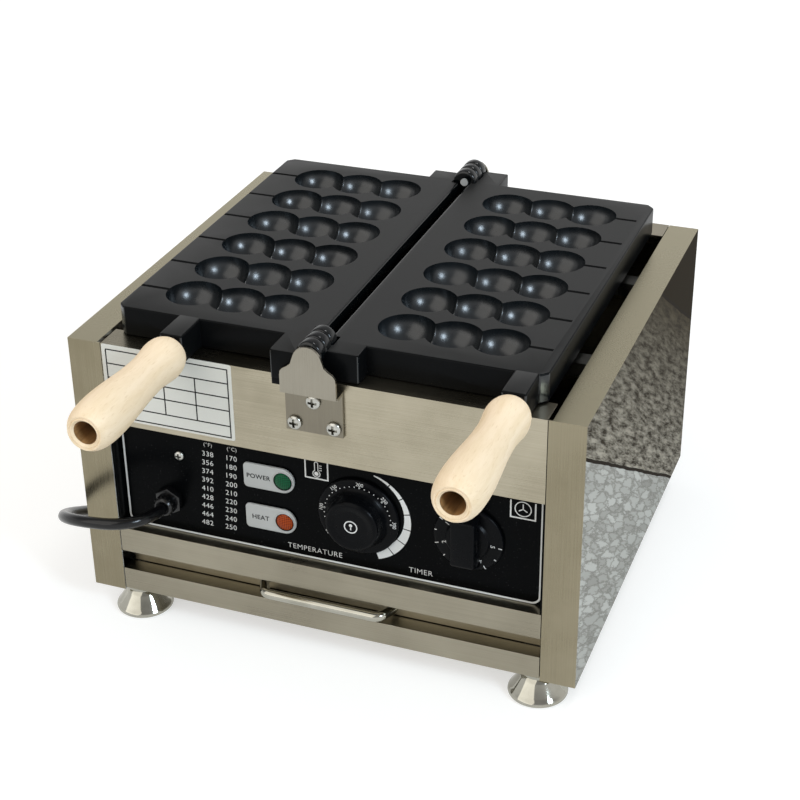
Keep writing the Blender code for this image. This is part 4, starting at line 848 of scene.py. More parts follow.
def wire(name: str, points: Sequence[Sequence[float]], radius: float, resolution: int = 4) -> Piece:
    """A round tube along points, as a curve object.

    Args:
        name: the object's name.
        points: the points it follows.
        radius: its radius.
        resolution: how finely its section is drawn.

    Returns:
        The curve object.
    """
    curve = bpy.data.curves.new(name, "CURVE")
    curve.dimensions = "3D"
    curve.bevel_depth = radius
    curve.bevel_resolution = resolution
    curve.use_fill_caps = True
    line = curve.splines.new("POLY")
    line.points.add(len(points) - 1)
    for point, place in zip(line.points, points):
        point.co = (*place, 1.0)
    return link(bpy.data.objects.new(name, curve))


def sheet(name: str, outline: Sequence[Flat], thickness: float) -> Piece:
    """A flat plate with a closed outline in XY, from Z zero up.

    Args:
        name: the object's name.
        outline: the outline's points.
        thickness: the plate's thickness.

    Returns:
        The plate.
    """
    shape = bmesh.new()
    face = shape.faces.new([shape.verts.new((x, y, 0)) for x, y in outline])
    made = bmesh.ops.extrude_face_region(shape, geom=[face])
    raised = [part for part in made["geom"] if isinstance(part, bmesh.types.BMVert)]
    bmesh.ops.translate(shape, vec=(0, 0, thickness), verts=raised)
    return solid(name, shape)


def ribbon(name: str, points: Sequence[Flat], width: float) -> Piece:
    """A printed line of even width along points in XY.

    Args:
        name: the object's name.
        points: the points it follows.
        width: the line's width.

    Returns:
        The line, as thick as ink.
    """
    line = [Vector(point) for point in points]
    sides: tuple[list[Flat], list[Flat]] = ([], [])
    for index, here in enumerate(line):
        ahead = (line[min(index + 1, len(line) - 1)] - here).normalized()
        behind = (here - line[max(index - 1, 0)]).normalized()
        along = (ahead + behind).normalized()
        across = Vector((-along.y, along.x))
        reach = width / 2 / max(0.5, abs(along.dot(ahead if ahead.length else behind)))
        sides[0].append(tuple(here + across * reach))
        sides[1].append(tuple(here - across * reach))
    return sheet(name, sides[0] + sides[1][::-1], INK)


def arc(centre: Flat, radius: float, start: float, end: float, steps: int) -> list[Flat]:
    """Points along an arc.

    Args:
        centre: its centre.
        radius: its radius.
        start: its first angle in degrees.
        end: its last angle in degrees.
        steps: how many pieces it is cut into.

    Returns:
        The points.
    """
    angles = [math.radians(start + (end - start) * step / steps) for step in range(steps + 1)]
    return [(centre[0] + radius * math.cos(angle), centre[1] + radius * math.sin(angle)) for angle in angles]


def dome(radius: float, low: float, high: float, steps: int) -> list[Flat]:
    """Points down a dome, from its top on the axis to just short of its rim.

    Args:
        radius: the rim's radius.
        low: the rim's height.
        high: the height of its top.
        steps: how many pieces it is cut into.

    Returns:
        The points as (radius, height).
    """
    angles = [step / steps * math.pi / 2 for step in range(steps)]
    return [(radius * math.sin(angle), low + (high - low) * math.cos(angle)) for angle in angles]


def plain(item: Piece, place: Matrix | None = None) -> Piece:
    """Turn a curve, a text or an object with modifiers into a plain mesh with its place in it.

    Args:
        item: the object, which is replaced.
        place: where it goes, or None to keep the place it has.

    Returns:
        The new object, at the origin.
    """
    bpy.context.view_layer.update()
    graph = bpy.context.evaluated_depsgraph_get()
    mesh = bpy.data.meshes.new_from_object(item.evaluated_get(graph), depsgraph=graph)
    mesh.transform(item.matrix_world if place is None else place)
    name = item.name
    bpy.data.objects.remove(item)
    return link(bpy.data.objects.new(name, mesh))


def joined(name: str, items: Iterable[Piece], place: Matrix | None = None) -> Piece:
    """Join plain meshes into one.

    Args:
        name: the new object's name.
        items: the meshes, which are removed.
        place: where the one mesh goes, or None to leave it.

    Returns:
        The one mesh.
    """
    shape = bmesh.new()
    for item in items:
        shape.from_mesh(item.data)
        bpy.data.objects.remove(item)
    mesh = bpy.data.meshes.new(name)
    shape.to_mesh(mesh)
    shape.free()
    if place is not None:
        mesh.transform(place)
    return link(bpy.data.objects.new(name, mesh))


def lettering(text: str, height: float, centre: Flat, turn: float = 0.0, spacing: float = 1.0,
              weight: float = 0.002) -> Piece:
    """A printed word or number in XY, as thick as ink.

    Args:
        text: the word or number.
        height: the height of its characters.
        centre: the middle of the word.
        turn: how far it is turned, in radians.
        spacing: how wide its characters stand.
        weight: how much bolder than the plain font its strokes are, as a share of the type size.

    Returns:
        The word, as a mesh.
    """
    font = bpy.data.curves.new("print", "FONT")
    font.body = text
    font.offset = weight
    font.extrude = INK / 2
    font.space_character = spacing
    font.resolution_u = 3
    word = plain(link(bpy.data.objects.new("print", font)))
    corners = [vert.co for vert in word.data.vertices]
    low = Vector([min(corner[axis] for corner in corners) for axis in range(3)])
    high = Vector([max(corner[axis] for corner in corners) for axis in range(3)])
    size = height / (high.y - low.y)
    middle = (low + high) / 2
    word.data.transform(Matrix.Translation((*centre, INK / 2)) @ Matrix.Rotation(turn, 4, "Z")
                        @ Matrix.Diagonal((size, size, 1, 1)) @ Matrix.Translation((-middle.x, -middle.y, 0)))
    return word


def settle(item: Piece, finish: Finish, body: Body, slot: Slot, *nodes: str,
           smooth: float = 35.0) -> Piece:
    """Give a finished piece its material and its body, and hide the CAD nodes it stands for.

    Args:
        item: the piece, in place.
        finish: its finish.
        body: the body that it rides on.
        slot: its slot in the record; not used.
        nodes: the CAD nodes that it replaces.
        smooth: the angle up to which its edges are shaded smooth.

    Returns:
        The piece.
    """
    item.data.materials.clear()
    item.data.materials.append(finish.material())
    if item.type == "MESH":
        item.data.shade_smooth()
        item.data.set_sharp_from_angle(angle=math.radians(smooth))
    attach(item, body.value)
    if nodes:
        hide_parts(*nodes)
    LOG.info("%s rides on %s", item.name, body.value)
    return item


def finish_faces(item: Piece, finish: Finish, chosen: Callable[[Vector, Vector], bool]) -> None:
    """Give some faces of a piece another finish.

    Args:
        item: the piece.
        finish: the other finish.
        chosen: tells from a face's centre and normal whether it gets that finish.
    """
    item.data.materials.append(finish.material())
    latest = len(item.data.materials) - 1
    for face in item.data.polygons:
        if chosen(face.center, face.normal):
            face.material_index = latest


def new_tree(name: str, inputs: Sequence[tuple[str, str, object]]) -> tuple[Tree, Node]:
    """Start a Geometry Nodes tree with named inputs.

    Args:
        name: the tree's name.
        inputs: each input's name, socket type and default, or None for no default.

    Returns:
        The tree and its group input node.
    """
    tree = bpy.data.node_groups.new(name, "GeometryNodeTree")
    tree.interface.new_socket("Geometry", in_out="INPUT", socket_type="NodeSocketGeometry")
    for label, kind, value in inputs:
        socket = tree.interface.new_socket(label, in_out="INPUT", socket_type=kind)
        if value is not None:
            socket.default_value = value
    tree.interface.new_socket("Geometry", in_out="OUTPUT", socket_type="NodeSocketGeometry")
    return tree, add_node(tree, "NodeGroupInput")


def end_tree(tree: Tree, start: Node, geometry: Socket) -> None:
    """End a tree in real geometry with its material.

    Args:
        tree: the tree.
        start: its group input node, which has a Material.
        geometry: the geometry so far.
    """
    real = add_node(tree, "GeometryNodeRealizeInstances", {"Geometry": geometry})
    dressed = add_node(tree, "GeometryNodeSetMaterial", {
        "Geometry": real.outputs["Geometry"], "Material": start.outputs["Material"]})
    add_node(tree, "NodeGroupOutput", {"Geometry": dressed.outputs["Geometry"]})


@cache
def row_tree(carve: Carve) -> Tree:
    """A tree that joins an even row of copies along Y to a casting, or cuts it out.

    Args:
        carve: what the copies do.

    Returns:
        The tree, with the inputs Shape, Count, Pitch and Material.
    """
    tree, start = new_tree(f"rows that {carve.name.lower()}", (
        ("Shape", "NodeSocketObject", None), ("Count", "NodeSocketInt", 6), ("Pitch", "NodeSocketFloat", 0.04),
        ("Material", "NodeSocketMaterial", None)))
    gaps = add_node(tree, "ShaderNodeMath", {0: start.outputs["Count"], 1: 1.0}, operation="SUBTRACT")
    half = add_node(tree, "ShaderNodeMath", {0: gaps.outputs[0], 1: -0.5}, operation="MULTIPLY")
    first = add_node(tree, "ShaderNodeMath", {0: half.outputs[0], 1: start.outputs["Pitch"]},
                     operation="MULTIPLY")
    start_place = add_node(tree, "ShaderNodeCombineXYZ", {"Y": first.outputs[0]})
    offset = add_node(tree, "ShaderNodeCombineXYZ", {"Y": start.outputs["Pitch"]})
    line = add_node(tree, "GeometryNodeMeshLine", {
        "Count": start.outputs["Count"], "Start Location": start_place.outputs[0], "Offset": offset.outputs[0]})
    shape = add_node(tree, "GeometryNodeObjectInfo", {"Object": start.outputs["Shape"]},
                     transform_space="ORIGINAL")
    copies = add_node(tree, "GeometryNodeInstanceOnPoints", {
        "Points": line.outputs["Mesh"], "Instance": shape.outputs["Geometry"]})
    real = add_node(tree, "GeometryNodeRealizeInstances", {"Geometry": copies.outputs["Instances"]})
    carved = add_node(tree, "GeometryNodeMeshBoolean", operation=carve.value, solver="EXACT")
    tree.links.new(start.outputs["Geometry"], carved.inputs[0 if carve is Carve.CUT else 1])
    tree.links.new(real.outputs["Geometry"], carved.inputs[1])
    end_tree(tree, start, carved.outputs["Mesh"])
    return tree


@cache
def polar_tree() -> Tree:
    """A tree that sets copies round the Z axis at an even step, as ribs, dots or scale marks.

    Returns:
        The tree, with the inputs Shape, Count, Radius, First, Step and Material.
    """
    tree, start = new_tree("copies round an axis", (
        ("Shape", "NodeSocketObject", None), ("Count", "NodeSocketInt", 12),
        ("Radius", "NodeSocketFloat", 0.01), ("First", "NodeSocketFloat", 0.0),
        ("Step", "NodeSocketFloat", 0.5), ("Material", "NodeSocketMaterial", None)))
    line = add_node(tree, "GeometryNodeMeshLine", {"Count": start.outputs["Count"], "Offset": (0.0, 0.0, 0.0)})
    index = add_node(tree, "GeometryNodeInputIndex")
    walked = add_node(tree, "ShaderNodeMath", {0: index.outputs[0], 1: start.outputs["Step"]},
                      operation="MULTIPLY")
    angle = add_node(tree, "ShaderNodeMath", {0: walked.outputs[0], 1: start.outputs["First"]}, operation="ADD")
    shares = [add_node(tree, "ShaderNodeMath", {0: angle.outputs[0]}, operation=wave)
              for wave in ("COSINE", "SINE")]
    across, along = (add_node(tree, "ShaderNodeMath", {0: share.outputs[0], 1: start.outputs["Radius"]},
                              operation="MULTIPLY") for share in shares)
    spot = add_node(tree, "ShaderNodeCombineXYZ", {"X": across.outputs[0], "Y": along.outputs[0]})
    turn = add_node(tree, "ShaderNodeCombineXYZ", {"Z": angle.outputs[0]})
    placed = add_node(tree, "GeometryNodeSetPosition", {
        "Geometry": line.outputs["Mesh"], "Position": spot.outputs[0]})
    shape = add_node(tree, "GeometryNodeObjectInfo", {"Object": start.outputs["Shape"]},
                     transform_space="ORIGINAL")
    copies = add_node(tree, "GeometryNodeInstanceOnPoints", {
        "Points": placed.outputs["Geometry"], "Instance": shape.outputs["Geometry"],
        "Rotation": turn.outputs[0]})
    end_tree(tree, start, copies.outputs["Instances"])
    return tree


@cache
def point_tree() -> Tree:
    """A tree that sets a copy of a shape on each point of a mesh.

    Returns:
        The tree, with the inputs Shape and Material.
    """
    tree, start = new_tree("copies on points", (
        ("Shape", "NodeSocketObject", None), ("Material", "NodeSocketMaterial", None)))
    shape = add_node(tree, "GeometryNodeObjectInfo", {"Object": start.outputs["Shape"]},
                     transform_space="ORIGINAL")
    copies = add_node(tree, "GeometryNodeInstanceOnPoints", {
        "Points": start.outputs["Geometry"], "Instance": shape.outputs["Geometry"]})
    end_tree(tree, start, copies.outputs["Instances"])
    return tree


def use_tree(item: Piece, tree: Tree, values: dict[str, object]) -> None:
    """Put a tree on an object as a modifier and set its inputs by their identifiers.

    Args:
        item: the object.
        tree: the tree.
        values: each input's value by its name.
    """
    step = item.modifiers.new(tree.name, "NODES")
    step.node_group = tree
    for socket in tree.interface.items_tree:
        if socket.in_out == "INPUT" and socket.name in values:
            step[socket.identifier] = values[socket.name]


def copies_round(name: str, shape: Piece, finish: Finish, count: int, radius: float, first: float,
                 step: float) -> Piece:
    """Copies of a shape round the Z axis, as one plain mesh.

    Args:
        name: the new object's name.
        shape: the shape, which is removed.
        finish: its finish.
        count: how many copies.
        radius: how far from the axis.
        first: the first copy's angle in degrees.
        step: the angle from copy to copy in degrees.

    Returns:
        The mesh.
    """
    host = link(bpy.data.objects.new(name, bpy.data.meshes.new(name)))
    use_tree(host, polar_tree(), {"Shape": shape, "Count": count, "Radius": radius,
                                  "First": math.radians(first), "Step": math.radians(step),
                                  "Material": finish.material()})
    made = plain(host)
    bpy.data.objects.remove(shape)
    return made


def copies_at(name: str, shape: Piece, finish: Finish,
              places: Sequence[Sequence[float]]) -> Piece:
    """Copies of a shape at points, as one plain mesh.

    Args:
        name: the new object's name.
        shape: the shape, which is removed.
        finish: its finish.
        places: the points.

    Returns:
        The mesh.
    """
    mesh = bpy.data.meshes.new(name)
    mesh.from_pydata([tuple(place) for place in places], [], [])
    host = link(bpy.data.objects.new(name, mesh))
    use_tree(host, point_tree(), {"Shape": shape, "Material": finish.material()})
    made = plain(host)
    bpy.data.objects.remove(shape)
    return made


@dataclass
class Carving:
    """A solid that exact Booleans shape, step by step, before it is made plain."""

    item: Piece
    guides: list[Piece] = field(default_factory=list)

    def take(self, carve: Carve, *others: Piece) -> "Carving":
        """Join shapes to the solid, or cut them out.

        Args:
            carve: what the shapes do.
            others: the shapes.

        Returns:
            This carving.
        """
        for other in others:
            boolean = self.item.modifiers.new(carve.name.lower(), "BOOLEAN")
            boolean.solver = "EXACT"
            boolean.operation = carve.value
            boolean.object = other
            self.guides.append(other)
        return self

    def rows(self, carve: Carve, shape: Piece, count: int, pitch: float,
             finish: Finish) -> "Carving":
        """Join or cut a row of copies of a shape.

        Args:
            carve: what the copies do.
            shape: the shape.
            count: how many copies.
            pitch: the distance from copy to copy.
            finish: the casting's finish.

        Returns:
            This carving.
        """
        use_tree(self.item, row_tree(carve), {"Shape": shape, "Count": count, "Pitch": pitch,
                                              "Material": finish.material()})
        self.guides.append(shape)
        return self

    def result(self, place: Matrix | None = None) -> Piece:
        """Make the solid plain and remove the other shapes.

        Args:
            place: where the solid goes.

        Returns:
            The plain solid.
        """
        made = plain(self.item, place)
        for guide in self.guides:
            bpy.data.objects.remove(guide)
        return made


@dataclass
class Studio:
    """The camera at the photograph's viewing angle, the pale floor and the soft light."""

    camera_place: Sequence[float] = (0.3984, -0.9884, 0.7477)
    azimuth: float = 20.983
    elevation: float = 29.152
    roll: float = -0.727
    lens_mm: float = 77.79
    sensor_mm: float = 36.0
    floor_size: float = 30.0
    floor_colour: str = "#C8C8C6"
    floor_lift: float = 0.53
    sky_light: float = 0.50
    ceiling: float = 0.42
    ceiling_span: Flat = (0.25, 0.50)
    aim: Sequence[float] = (0.0, CENTRE_Y, 0.15)
    lamps: tuple[tuple[str, Sequence[float], float, float, str], ...] = (
        ("front_softbox", (-2.6, -4.4, 4.6), 7.5, 240.0, "#FFFBF4"),
        ("right_softbox", (5.3, -2.4, 3.4), 1.6, 230.0, "#DCEFFF"),
        ("overhead_lamp", (1.2, 2.5, 4.8), 0.9, 45.0, "#FFFFFF"),
    )

    def build(self) -> None:
        """Make the camera, the floor, the sky and the lamps."""
        self.camera()
        self.floor()
        self.sky()
        for name, place, size, power, tint in self.lamps:
            self.lamp(name, Vector(place), size, power, tint)

    def camera(self) -> None:
        """Set the camera where the photograph was taken from."""
        data = bpy.data.cameras.new("photograph_view")
        data.lens = self.lens_mm
        data.sensor_width = self.sensor_mm
        data.clip_start = 0.05
        camera = link(bpy.data.objects.new("photograph_view", data))
        turn, rise, roll = (math.radians(angle) for angle in (self.azimuth, self.elevation, self.roll))
        back = Vector((math.sin(turn) * math.cos(rise), -math.cos(turn) * math.cos(rise), math.sin(rise)))
        level = Vector((math.cos(turn), math.sin(turn), 0))
        upright = back.cross(level)
        right = level * math.cos(roll) + upright * math.sin(roll)
        up = upright * math.cos(roll) - level * math.sin(roll)
        camera.matrix_world = Matrix.Translation(self.camera_place) @ Matrix(
            (right, up, back)).transposed().to_4x4()
        bpy.context.scene.camera = camera

    def shown(self, tree: Tree) -> tuple[Socket, Socket]:
        """Tell the rays that show the background from those that only light the object.

        Args:
            tree: a material's or the world's nodes.

        Returns:
            A socket that is 1 for camera rays, and one that is 1 for rays from metal or glass.
        """
        path = add_node(tree, "ShaderNodeLightPath")
        mirrored = add_node(tree, "ShaderNodeMath", {
            0: path.outputs["Is Glossy Ray"], 1: path.outputs["Is Transmission Ray"]}, operation="MAXIMUM")
        return path.outputs["Is Camera Ray"], mirrored.outputs[0]

    def floor(self) -> None:
        """Lay a matt floor that shows as white and keeps the object's shadow."""
        shape = bmesh.new()
        bmesh.ops.create_grid(shape, x_segments=1, y_segments=1, size=self.floor_size / 2)
        floor = solid("floor", shape)
        made = bpy.data.materials.new("matt white studio floor")
        made.use_nodes = True
        tree = made.node_tree
        tree.nodes.clear()
        seen = add_node(tree, "ShaderNodeMath", dict(enumerate(self.shown(tree))), operation="MAXIMUM")
        lift = add_node(tree, "ShaderNodeMath", {0: seen.outputs[0], 1: self.floor_lift},
                        operation="MULTIPLY")
        shader = add_node(tree, "ShaderNodeBsdfPrincipled", {
            "Base Color": linear(self.floor_colour), "Roughness": 0.85, "Specular IOR Level": 0.1,
            "Emission Color": (1.0, 1.0, 1.0, 1.0), "Emission Strength": lift.outputs[0]})
        add_node(tree, "ShaderNodeOutputMaterial", {"Surface": shader.outputs["BSDF"]})
        floor.data.materials.append(made)

    def sky(self) -> None:
        """Light from all round, shown and mirrored as a white horizon under a grey ceiling."""
        world = bpy.data.worlds.new("white studio")
        bpy.context.scene.world = world
        world.use_nodes = True
        tree = world.node_tree
        tree.nodes.clear()
        seen, mirrored = self.shown(tree)
        way = add_node(tree, "ShaderNodeSeparateXYZ", {
            0: add_node(tree, "ShaderNodeTexCoord").outputs["Object"]})
        high = add_node(tree, "ShaderNodeMapRange", {
            "Value": way.outputs["Z"], "From Min": self.ceiling_span[0], "From Max": self.ceiling_span[1],
            "To Min": 1.0, "To Max": self.ceiling})
        shown = add_node(tree, "ShaderNodeMath", {0: seen, 1: mirrored}, operation="MAXIMUM")
        strength = add_node(tree, "ShaderNodeMix", {0: shown.outputs[0], 2: self.sky_light, 3: high.outputs[0]})
        light = add_node(tree, "ShaderNodeBackground", {
            "Color": (1.0, 1.0, 1.0, 1.0), "Strength": strength.outputs[0]})
        add_node(tree, "ShaderNodeOutputWorld", {"Surface": light.outputs[0]})

    def lamp(self, name: str, place: Vector, size: float, power: float, tint: str) -> None:
        """Hang a square softbox that looks at the object.

        Args:
            name: the lamp's name.
            place: where it hangs.
            size: the length of its side.
            power: its power in watts.
            tint: the colour of its light.
        """
        data = bpy.data.lights.new(name, "AREA")
        data.size = size
        data.energy = power
        data.color = linear(tint)[:3]
        lamp = link(bpy.data.objects.new(name, data))
        lamp.location = place
        lamp.rotation_euler = (Vector(self.aim) - place).to_track_quat("-Z", "Y").to_euler()


@dataclass
class MainsCord:
    """The free cord from the gland to the plug: one curve, with the coil of its spare length."""

    radius: float = 0.0041
    length: float = 1.6764
    start: Sequence[float] = (-0.1170, -0.1067, 0.1020)
    route: Sequence[Sequence[float]] = (
        (-0.1185, -0.1168, 0.1027), (-0.1222, -0.1265, 0.1035), (-0.1290, -0.1335, 0.1040),
        (-0.1375, -0.1380, 0.1040), (-0.1475, -0.1395, 0.1033), (-0.1600, -0.1385, 0.1015),
        (-0.1720, -0.1345, 0.0982), (-0.1825, -0.1270, 0.0932), (-0.1905, -0.1160, 0.0865),
        (-0.1953, -0.1025, 0.0787), (-0.1975, -0.0865, 0.0697), (-0.1980, -0.0690, 0.0600),
        (-0.1978, -0.0510, 0.0502), (-0.1974, -0.0325, 0.0405), (-0.1970, -0.0135, 0.0313),
        (-0.1965, 0.0060, 0.0230), (-0.1960, 0.0265, 0.0160), (-0.1955, 0.0480, 0.0105),
        (-0.1950, 0.0710, 0.0068), (-0.1943, 0.0960, 0.0050), (-0.1935, 0.1230, 0.0045),
        (-0.1922, 0.1510, 0.0045), (-0.1895, 0.1780, 0.0047), (-0.1850, 0.2040, 0.0050),
        (-0.1785, 0.2280, 0.0054), (-0.1705, 0.2520, 0.0057),
    )
    step: float = 0.006
    coil_centre: Sequence[float] = (-0.1100, 0.2940)
    coil_radius: float = 0.052
    coil_pitch: float = 0.0090
    coil_turns: float = 4.25
    coil_climb: float = 0.5
    coil_low_z: float = 0.0059
    coil_rise: float = 0.0087
    points_per_turn: int = 48
    plug_relief: float = 0.031
    plug_size: Sequence[float] = (0.036, 0.027, 0.028)
    plug_corner: float = 0.004
    relief_radius: float = 0.0065
    relief_ribs: int = 7
    prong_size: Sequence[float] = (0.017, 0.0015, 0.0064)
    prong_offset: float = 0.00635
    earth_radius: float = 0.0024
    earth_drop: float = 0.0085

    def build(self) -> None:
        coil = self.coil()
        straight = Vector((0, self.radius, 0))
        start = Vector(self.start)
        end = coil[0] - Vector((0, SEAT_GAP, 0))
        guides = [start - straight, *(Vector(place) for place in self.route), end - straight]
        line = [start, *smooth_through(guides, self.step), end, *coil]
        cord = settle(wire("mains_cord", line, self.radius, 5), SHEATH, Body.CABINET, Slot.RUBBER,
                      "power_cord", "cord_coil")
        plug = self.plug(coil[-1] + Vector((SEAT_GAP, 0, 0)))

    def coil(self) -> list[Vector]:
        """The two layers of the coil, which spiral in, climb and spiral out.

        Returns:
            The coil's points, with a short straight piece at both ends.
        """
        count = round(self.coil_turns * self.points_per_turn)
        layer = (self.coil_turns - self.coil_climb) / 2
        path = []
        for index in range(count + 1):
            turns = self.coil_turns * index / count
            radius = self.coil_radius - self.coil_pitch * min(turns, self.coil_turns - turns)
            climb = min(max((turns - layer) / self.coil_climb, 0), 1)
            angle = math.pi - math.tau * turns
            path.append(Vector((self.coil_centre[0] + radius * math.cos(angle),
                                self.coil_centre[1] + radius * math.sin(angle),
                                self.coil_low_z + self.coil_rise * (3 - 2 * climb) * climb ** 2)))
        lead = self.radius * 2
        return [path[0] - Vector((0, lead, 0)), *path, path[-1] + Vector((lead, 0, 0))]

    def plug(self, start: Vector) -> Piece:
        """Make the moulded plug with its ribbed strain relief.

        Args:
            start: where the relief begins, on the cord's own line.

        Returns:
            The plug.
        """
        length, width, height = self.plug_size
        body = block("mains_plug", (self.plug_relief, -width / 2, -height / 2),
                     (self.plug_relief + length, width / 2, height / 2), self.plug_corner, 4)
        profile: list[Flat] = [(0, 0)]
        for rib in range(self.relief_ribs):
            low = self.plug_relief * rib / self.relief_ribs
            high = self.plug_relief * (rib + 1) / self.relief_ribs
            groove = self.radius * 1.1 + (self.relief_radius * 0.8 - self.radius * 1.1) * rib / self.relief_ribs
            proud = groove + self.relief_radius * 0.18
            profile += [(groove, low), (proud, low + (high - low) * 0.3), (proud, low + (high - low) * 0.7),
                        (groove, high)]
        profile.append((0, self.plug_relief + self.plug_corner))
        relief = plain(lathe("relief", profile, 32), FACING_RIGHT)
        face = self.plug_relief + length
        reach, thick, tall = self.prong_size
        prongs = [block("prong", (face - self.plug_corner, side * self.prong_offset - thick / 2, -tall / 2),
                        (face + reach, side * self.prong_offset + thick / 2, tall / 2), 0.0003)
                  for side in (-1, 1)]
        pin = rounded([(0, -self.plug_corner), (self.earth_radius, -self.plug_corner),
                       (self.earth_radius, reach), (0, reach)], 0.0012)
        earth = plain(lathe("earth_pin", pin, 24),
                      Matrix.Translation((face, 0, -self.earth_drop)) @ FACING_RIGHT)
        plug = joined("mains_plug", [body, relief, *prongs, earth], Matrix.Translation(start))
        settle(plug, NYLON, Body.CABINET, Slot.BLACK_PLASTIC, "cord_plug")
        finish_faces(plug, CHROME, lambda centre, normal: centre.x > start.x + face + 0.0005)
        return plug


@dataclass
class MouldPlate:
    """One cast plate with three-ball cavities in rows, its bowls below, lugs, knuckles and handle boss.

    It is drawn as the right plate about the hinge axis. The left one is the same, turned half round, with
    the boss at its other end.
    """

    hand: Hand
    handle_x: float
    inner: float = 0.004
    outer: float = 0.1495
    half_length: float = 0.1425
    top: float = -0.00025
    bottom: float = -0.02145
    corner: float = 0.0014
    corner_cut: float = 0.0052
    deck: float = 0.005
    skirt: float = 0.005
    rows: int = 6
    row_pitch: float = 0.04336
    middle: float = 0.07675
    ball_radius: float = 0.019
    ball_pitch: float = 0.032
    ridge: float = 0.0010
    balls: int = 3
    bowl_radius: float = 0.0213
    groove_radius: float = 0.0015
    groove_end: float = 0.0665
    inner_lug: Flat = (0.0300, -0.1567)
    outer_lug: Flat = (0.0270, 0.1661)
    lug_drop_y: Flat = (0.1595, 0.1657)
    lug_drop: float = 0.004
    boss_width: float = 0.016
    boss_reach: float = 0.1695
    boss_bore: float = 0.015
    handle_drop: float = 0.012
    knuckle_radius: float = 0.009
    knuckles: tuple[Flat, ...] = ((-0.1571, -0.1481), (0.1387, 0.1477), (0.1575, 0.1665))
    notches: tuple[Flat, ...] = ((-0.1481, -0.1357), (0.1477, 0.1575))
    notch_radius: float = 0.0096
    pin_bore: float = 0.0034
    rod_bore: float = 0.0043

    def build(self) -> None:
        """Make the casting and dress it."""
        half, low = self.half_length, self.bottom
        casting = Carving(self.slab())
        casting.take(Carve.CUT, block("hollow", (self.inner + self.skirt, self.skirt - half, low - 0.01),
                                      (self.outer - self.skirt, half - self.skirt, self.top - self.deck)))
        casting.rows(Carve.JOIN, self.bowls(), self.rows, self.row_pitch, PLATE_FACE)
        casting.take(Carve.JOIN, *self.lugs())
        casting.take(Carve.CUT, *(self.along_hinge("notch", self.notch_radius, span) for span in self.notches))
        casting.take(Carve.JOIN, *(self.along_hinge("knuckle", self.knuckle_radius, span, 0.0022)
                                   for span in self.knuckles))
        casting.take(Carve.CUT, self.along_hinge("pin_bore", self.pin_bore, (-0.2, 0.2)))
        casting.rows(Carve.CUT, self.cavities(), self.rows, self.row_pitch, PLATE_FACE)
        side = self.hand.value
        bore = lathe("rod_bore", [(0, -self.boss_bore), (self.rod_bore, -self.boss_bore),
                                  (self.rod_bore, 0.002), (0, 0.002)], 24)
        bore.matrix_world = Matrix.Translation(
            (self.handle_x, -side * self.boss_reach, self.top - self.handle_drop)) @ (
                FACING_FRONT if side > 0 else FACING_REAR)
        casting.take(Carve.CUT, bore)
        place = Matrix.Translation((0, CENTRE_Y, AXIS_Z)) @ Matrix.Rotation(
            0 if side > 0 else math.pi, 4, "Z")
        plate = casting.result(place)
        centres = [place @ Vector((self.middle + self.ball_pitch * (ball - (self.balls - 1) / 2),
                                   self.row_pitch * (row - (self.rows - 1) / 2), 0))
                   for row in range(self.rows) for ball in range(self.balls)]
        settle(plate, PLATE_FACE, self.hand.body, Slot.NON_STICK, f"mould_plate_{self.hand.word}")
        # The sides and underside take the darker finish: painted shade, as less light falls there than on the
        # top
        finish_faces(plate, SHADED_PLATE_SIDE, lambda centre, normal: normal.z < 0.4
                     or centre.z < AXIS_Z + self.top - 0.0002)
        # Cavities and rounded upright edges take the glossy finish, with its painted blue-green reflection
        finish_faces(plate, PLATE_CAVITY, lambda centre, normal: (
            min(abs(normal.x), abs(normal.y)) > 0.2 > abs(normal.z)
            or any((ball - centre).length < self.ball_radius * 1.01
                   and normal.dot((ball - centre).normalized()) > 0.3 for ball in centres)))
        finish_faces(plate, PLATE_KNUCKLE, lambda centre, normal: math.hypot(
            centre.x, centre.z - AXIS_Z) < self.knuckle_radius * 1.01)

    def slab(self) -> Piece:
        """The plate's slab, with a chamfer down each outer corner and rounded edges.

        Returns:
            The slab.
        """
        inner, outer, half, cut = self.inner, self.outer, self.half_length, self.corner_cut
        outline = [(inner, -half), (outer - cut, -half), (outer, cut - half), (outer, half - cut),
                   (outer - cut, half), (inner, half)]
        slab = plain(sheet(f"ball_mould_{self.hand.word}", outline, self.top - self.bottom),
                     Matrix.Translation((0, 0, self.bottom)))
        return round_edges(slab, self.corner, 3)

    def ball_profile(self, radius: float, steps: int) -> list[Flat]:
        """The outline of balls merged in a row, from the first ball's pole to the last ball's.

        Args:
            radius: the balls' radius.
            steps: the facets of a whole half circle.

        Returns:
            The outline as (radius, height) points.
        """
        waist = math.asin(self.ball_pitch / 2 / radius)
        near = waist - self.ridge / radius
        ridge = Vector((radius * math.cos(waist), self.ball_pitch / 2))
        before = Vector((radius * math.cos(near), radius * math.sin(near)))
        after = Vector((before.x, self.ball_pitch - before.y))
        outline: list[Flat] = []
        for ball in range(self.balls):
            centre = self.ball_pitch * (ball - (self.balls - 1) / 2)
            start = -math.pi / 2 if ball == 0 else -near
            end = math.pi / 2 if ball == self.balls - 1 else near
            count = max(2, round(steps * (end - start) / math.pi))
            for step in range(count + 1):
                angle = start + (end - start) * step / count
                outline.append((max(0.0, radius * math.cos(angle)), centre + radius * math.sin(angle)))
            if ball < self.balls - 1:
                for share in (0.25, 0.5, 0.75):
                    point = before * (1 - share) ** 2 + ridge * 2 * share * (1 - share) + after * share ** 2
                    outline.append((point.x, centre + point.y))
        return outline

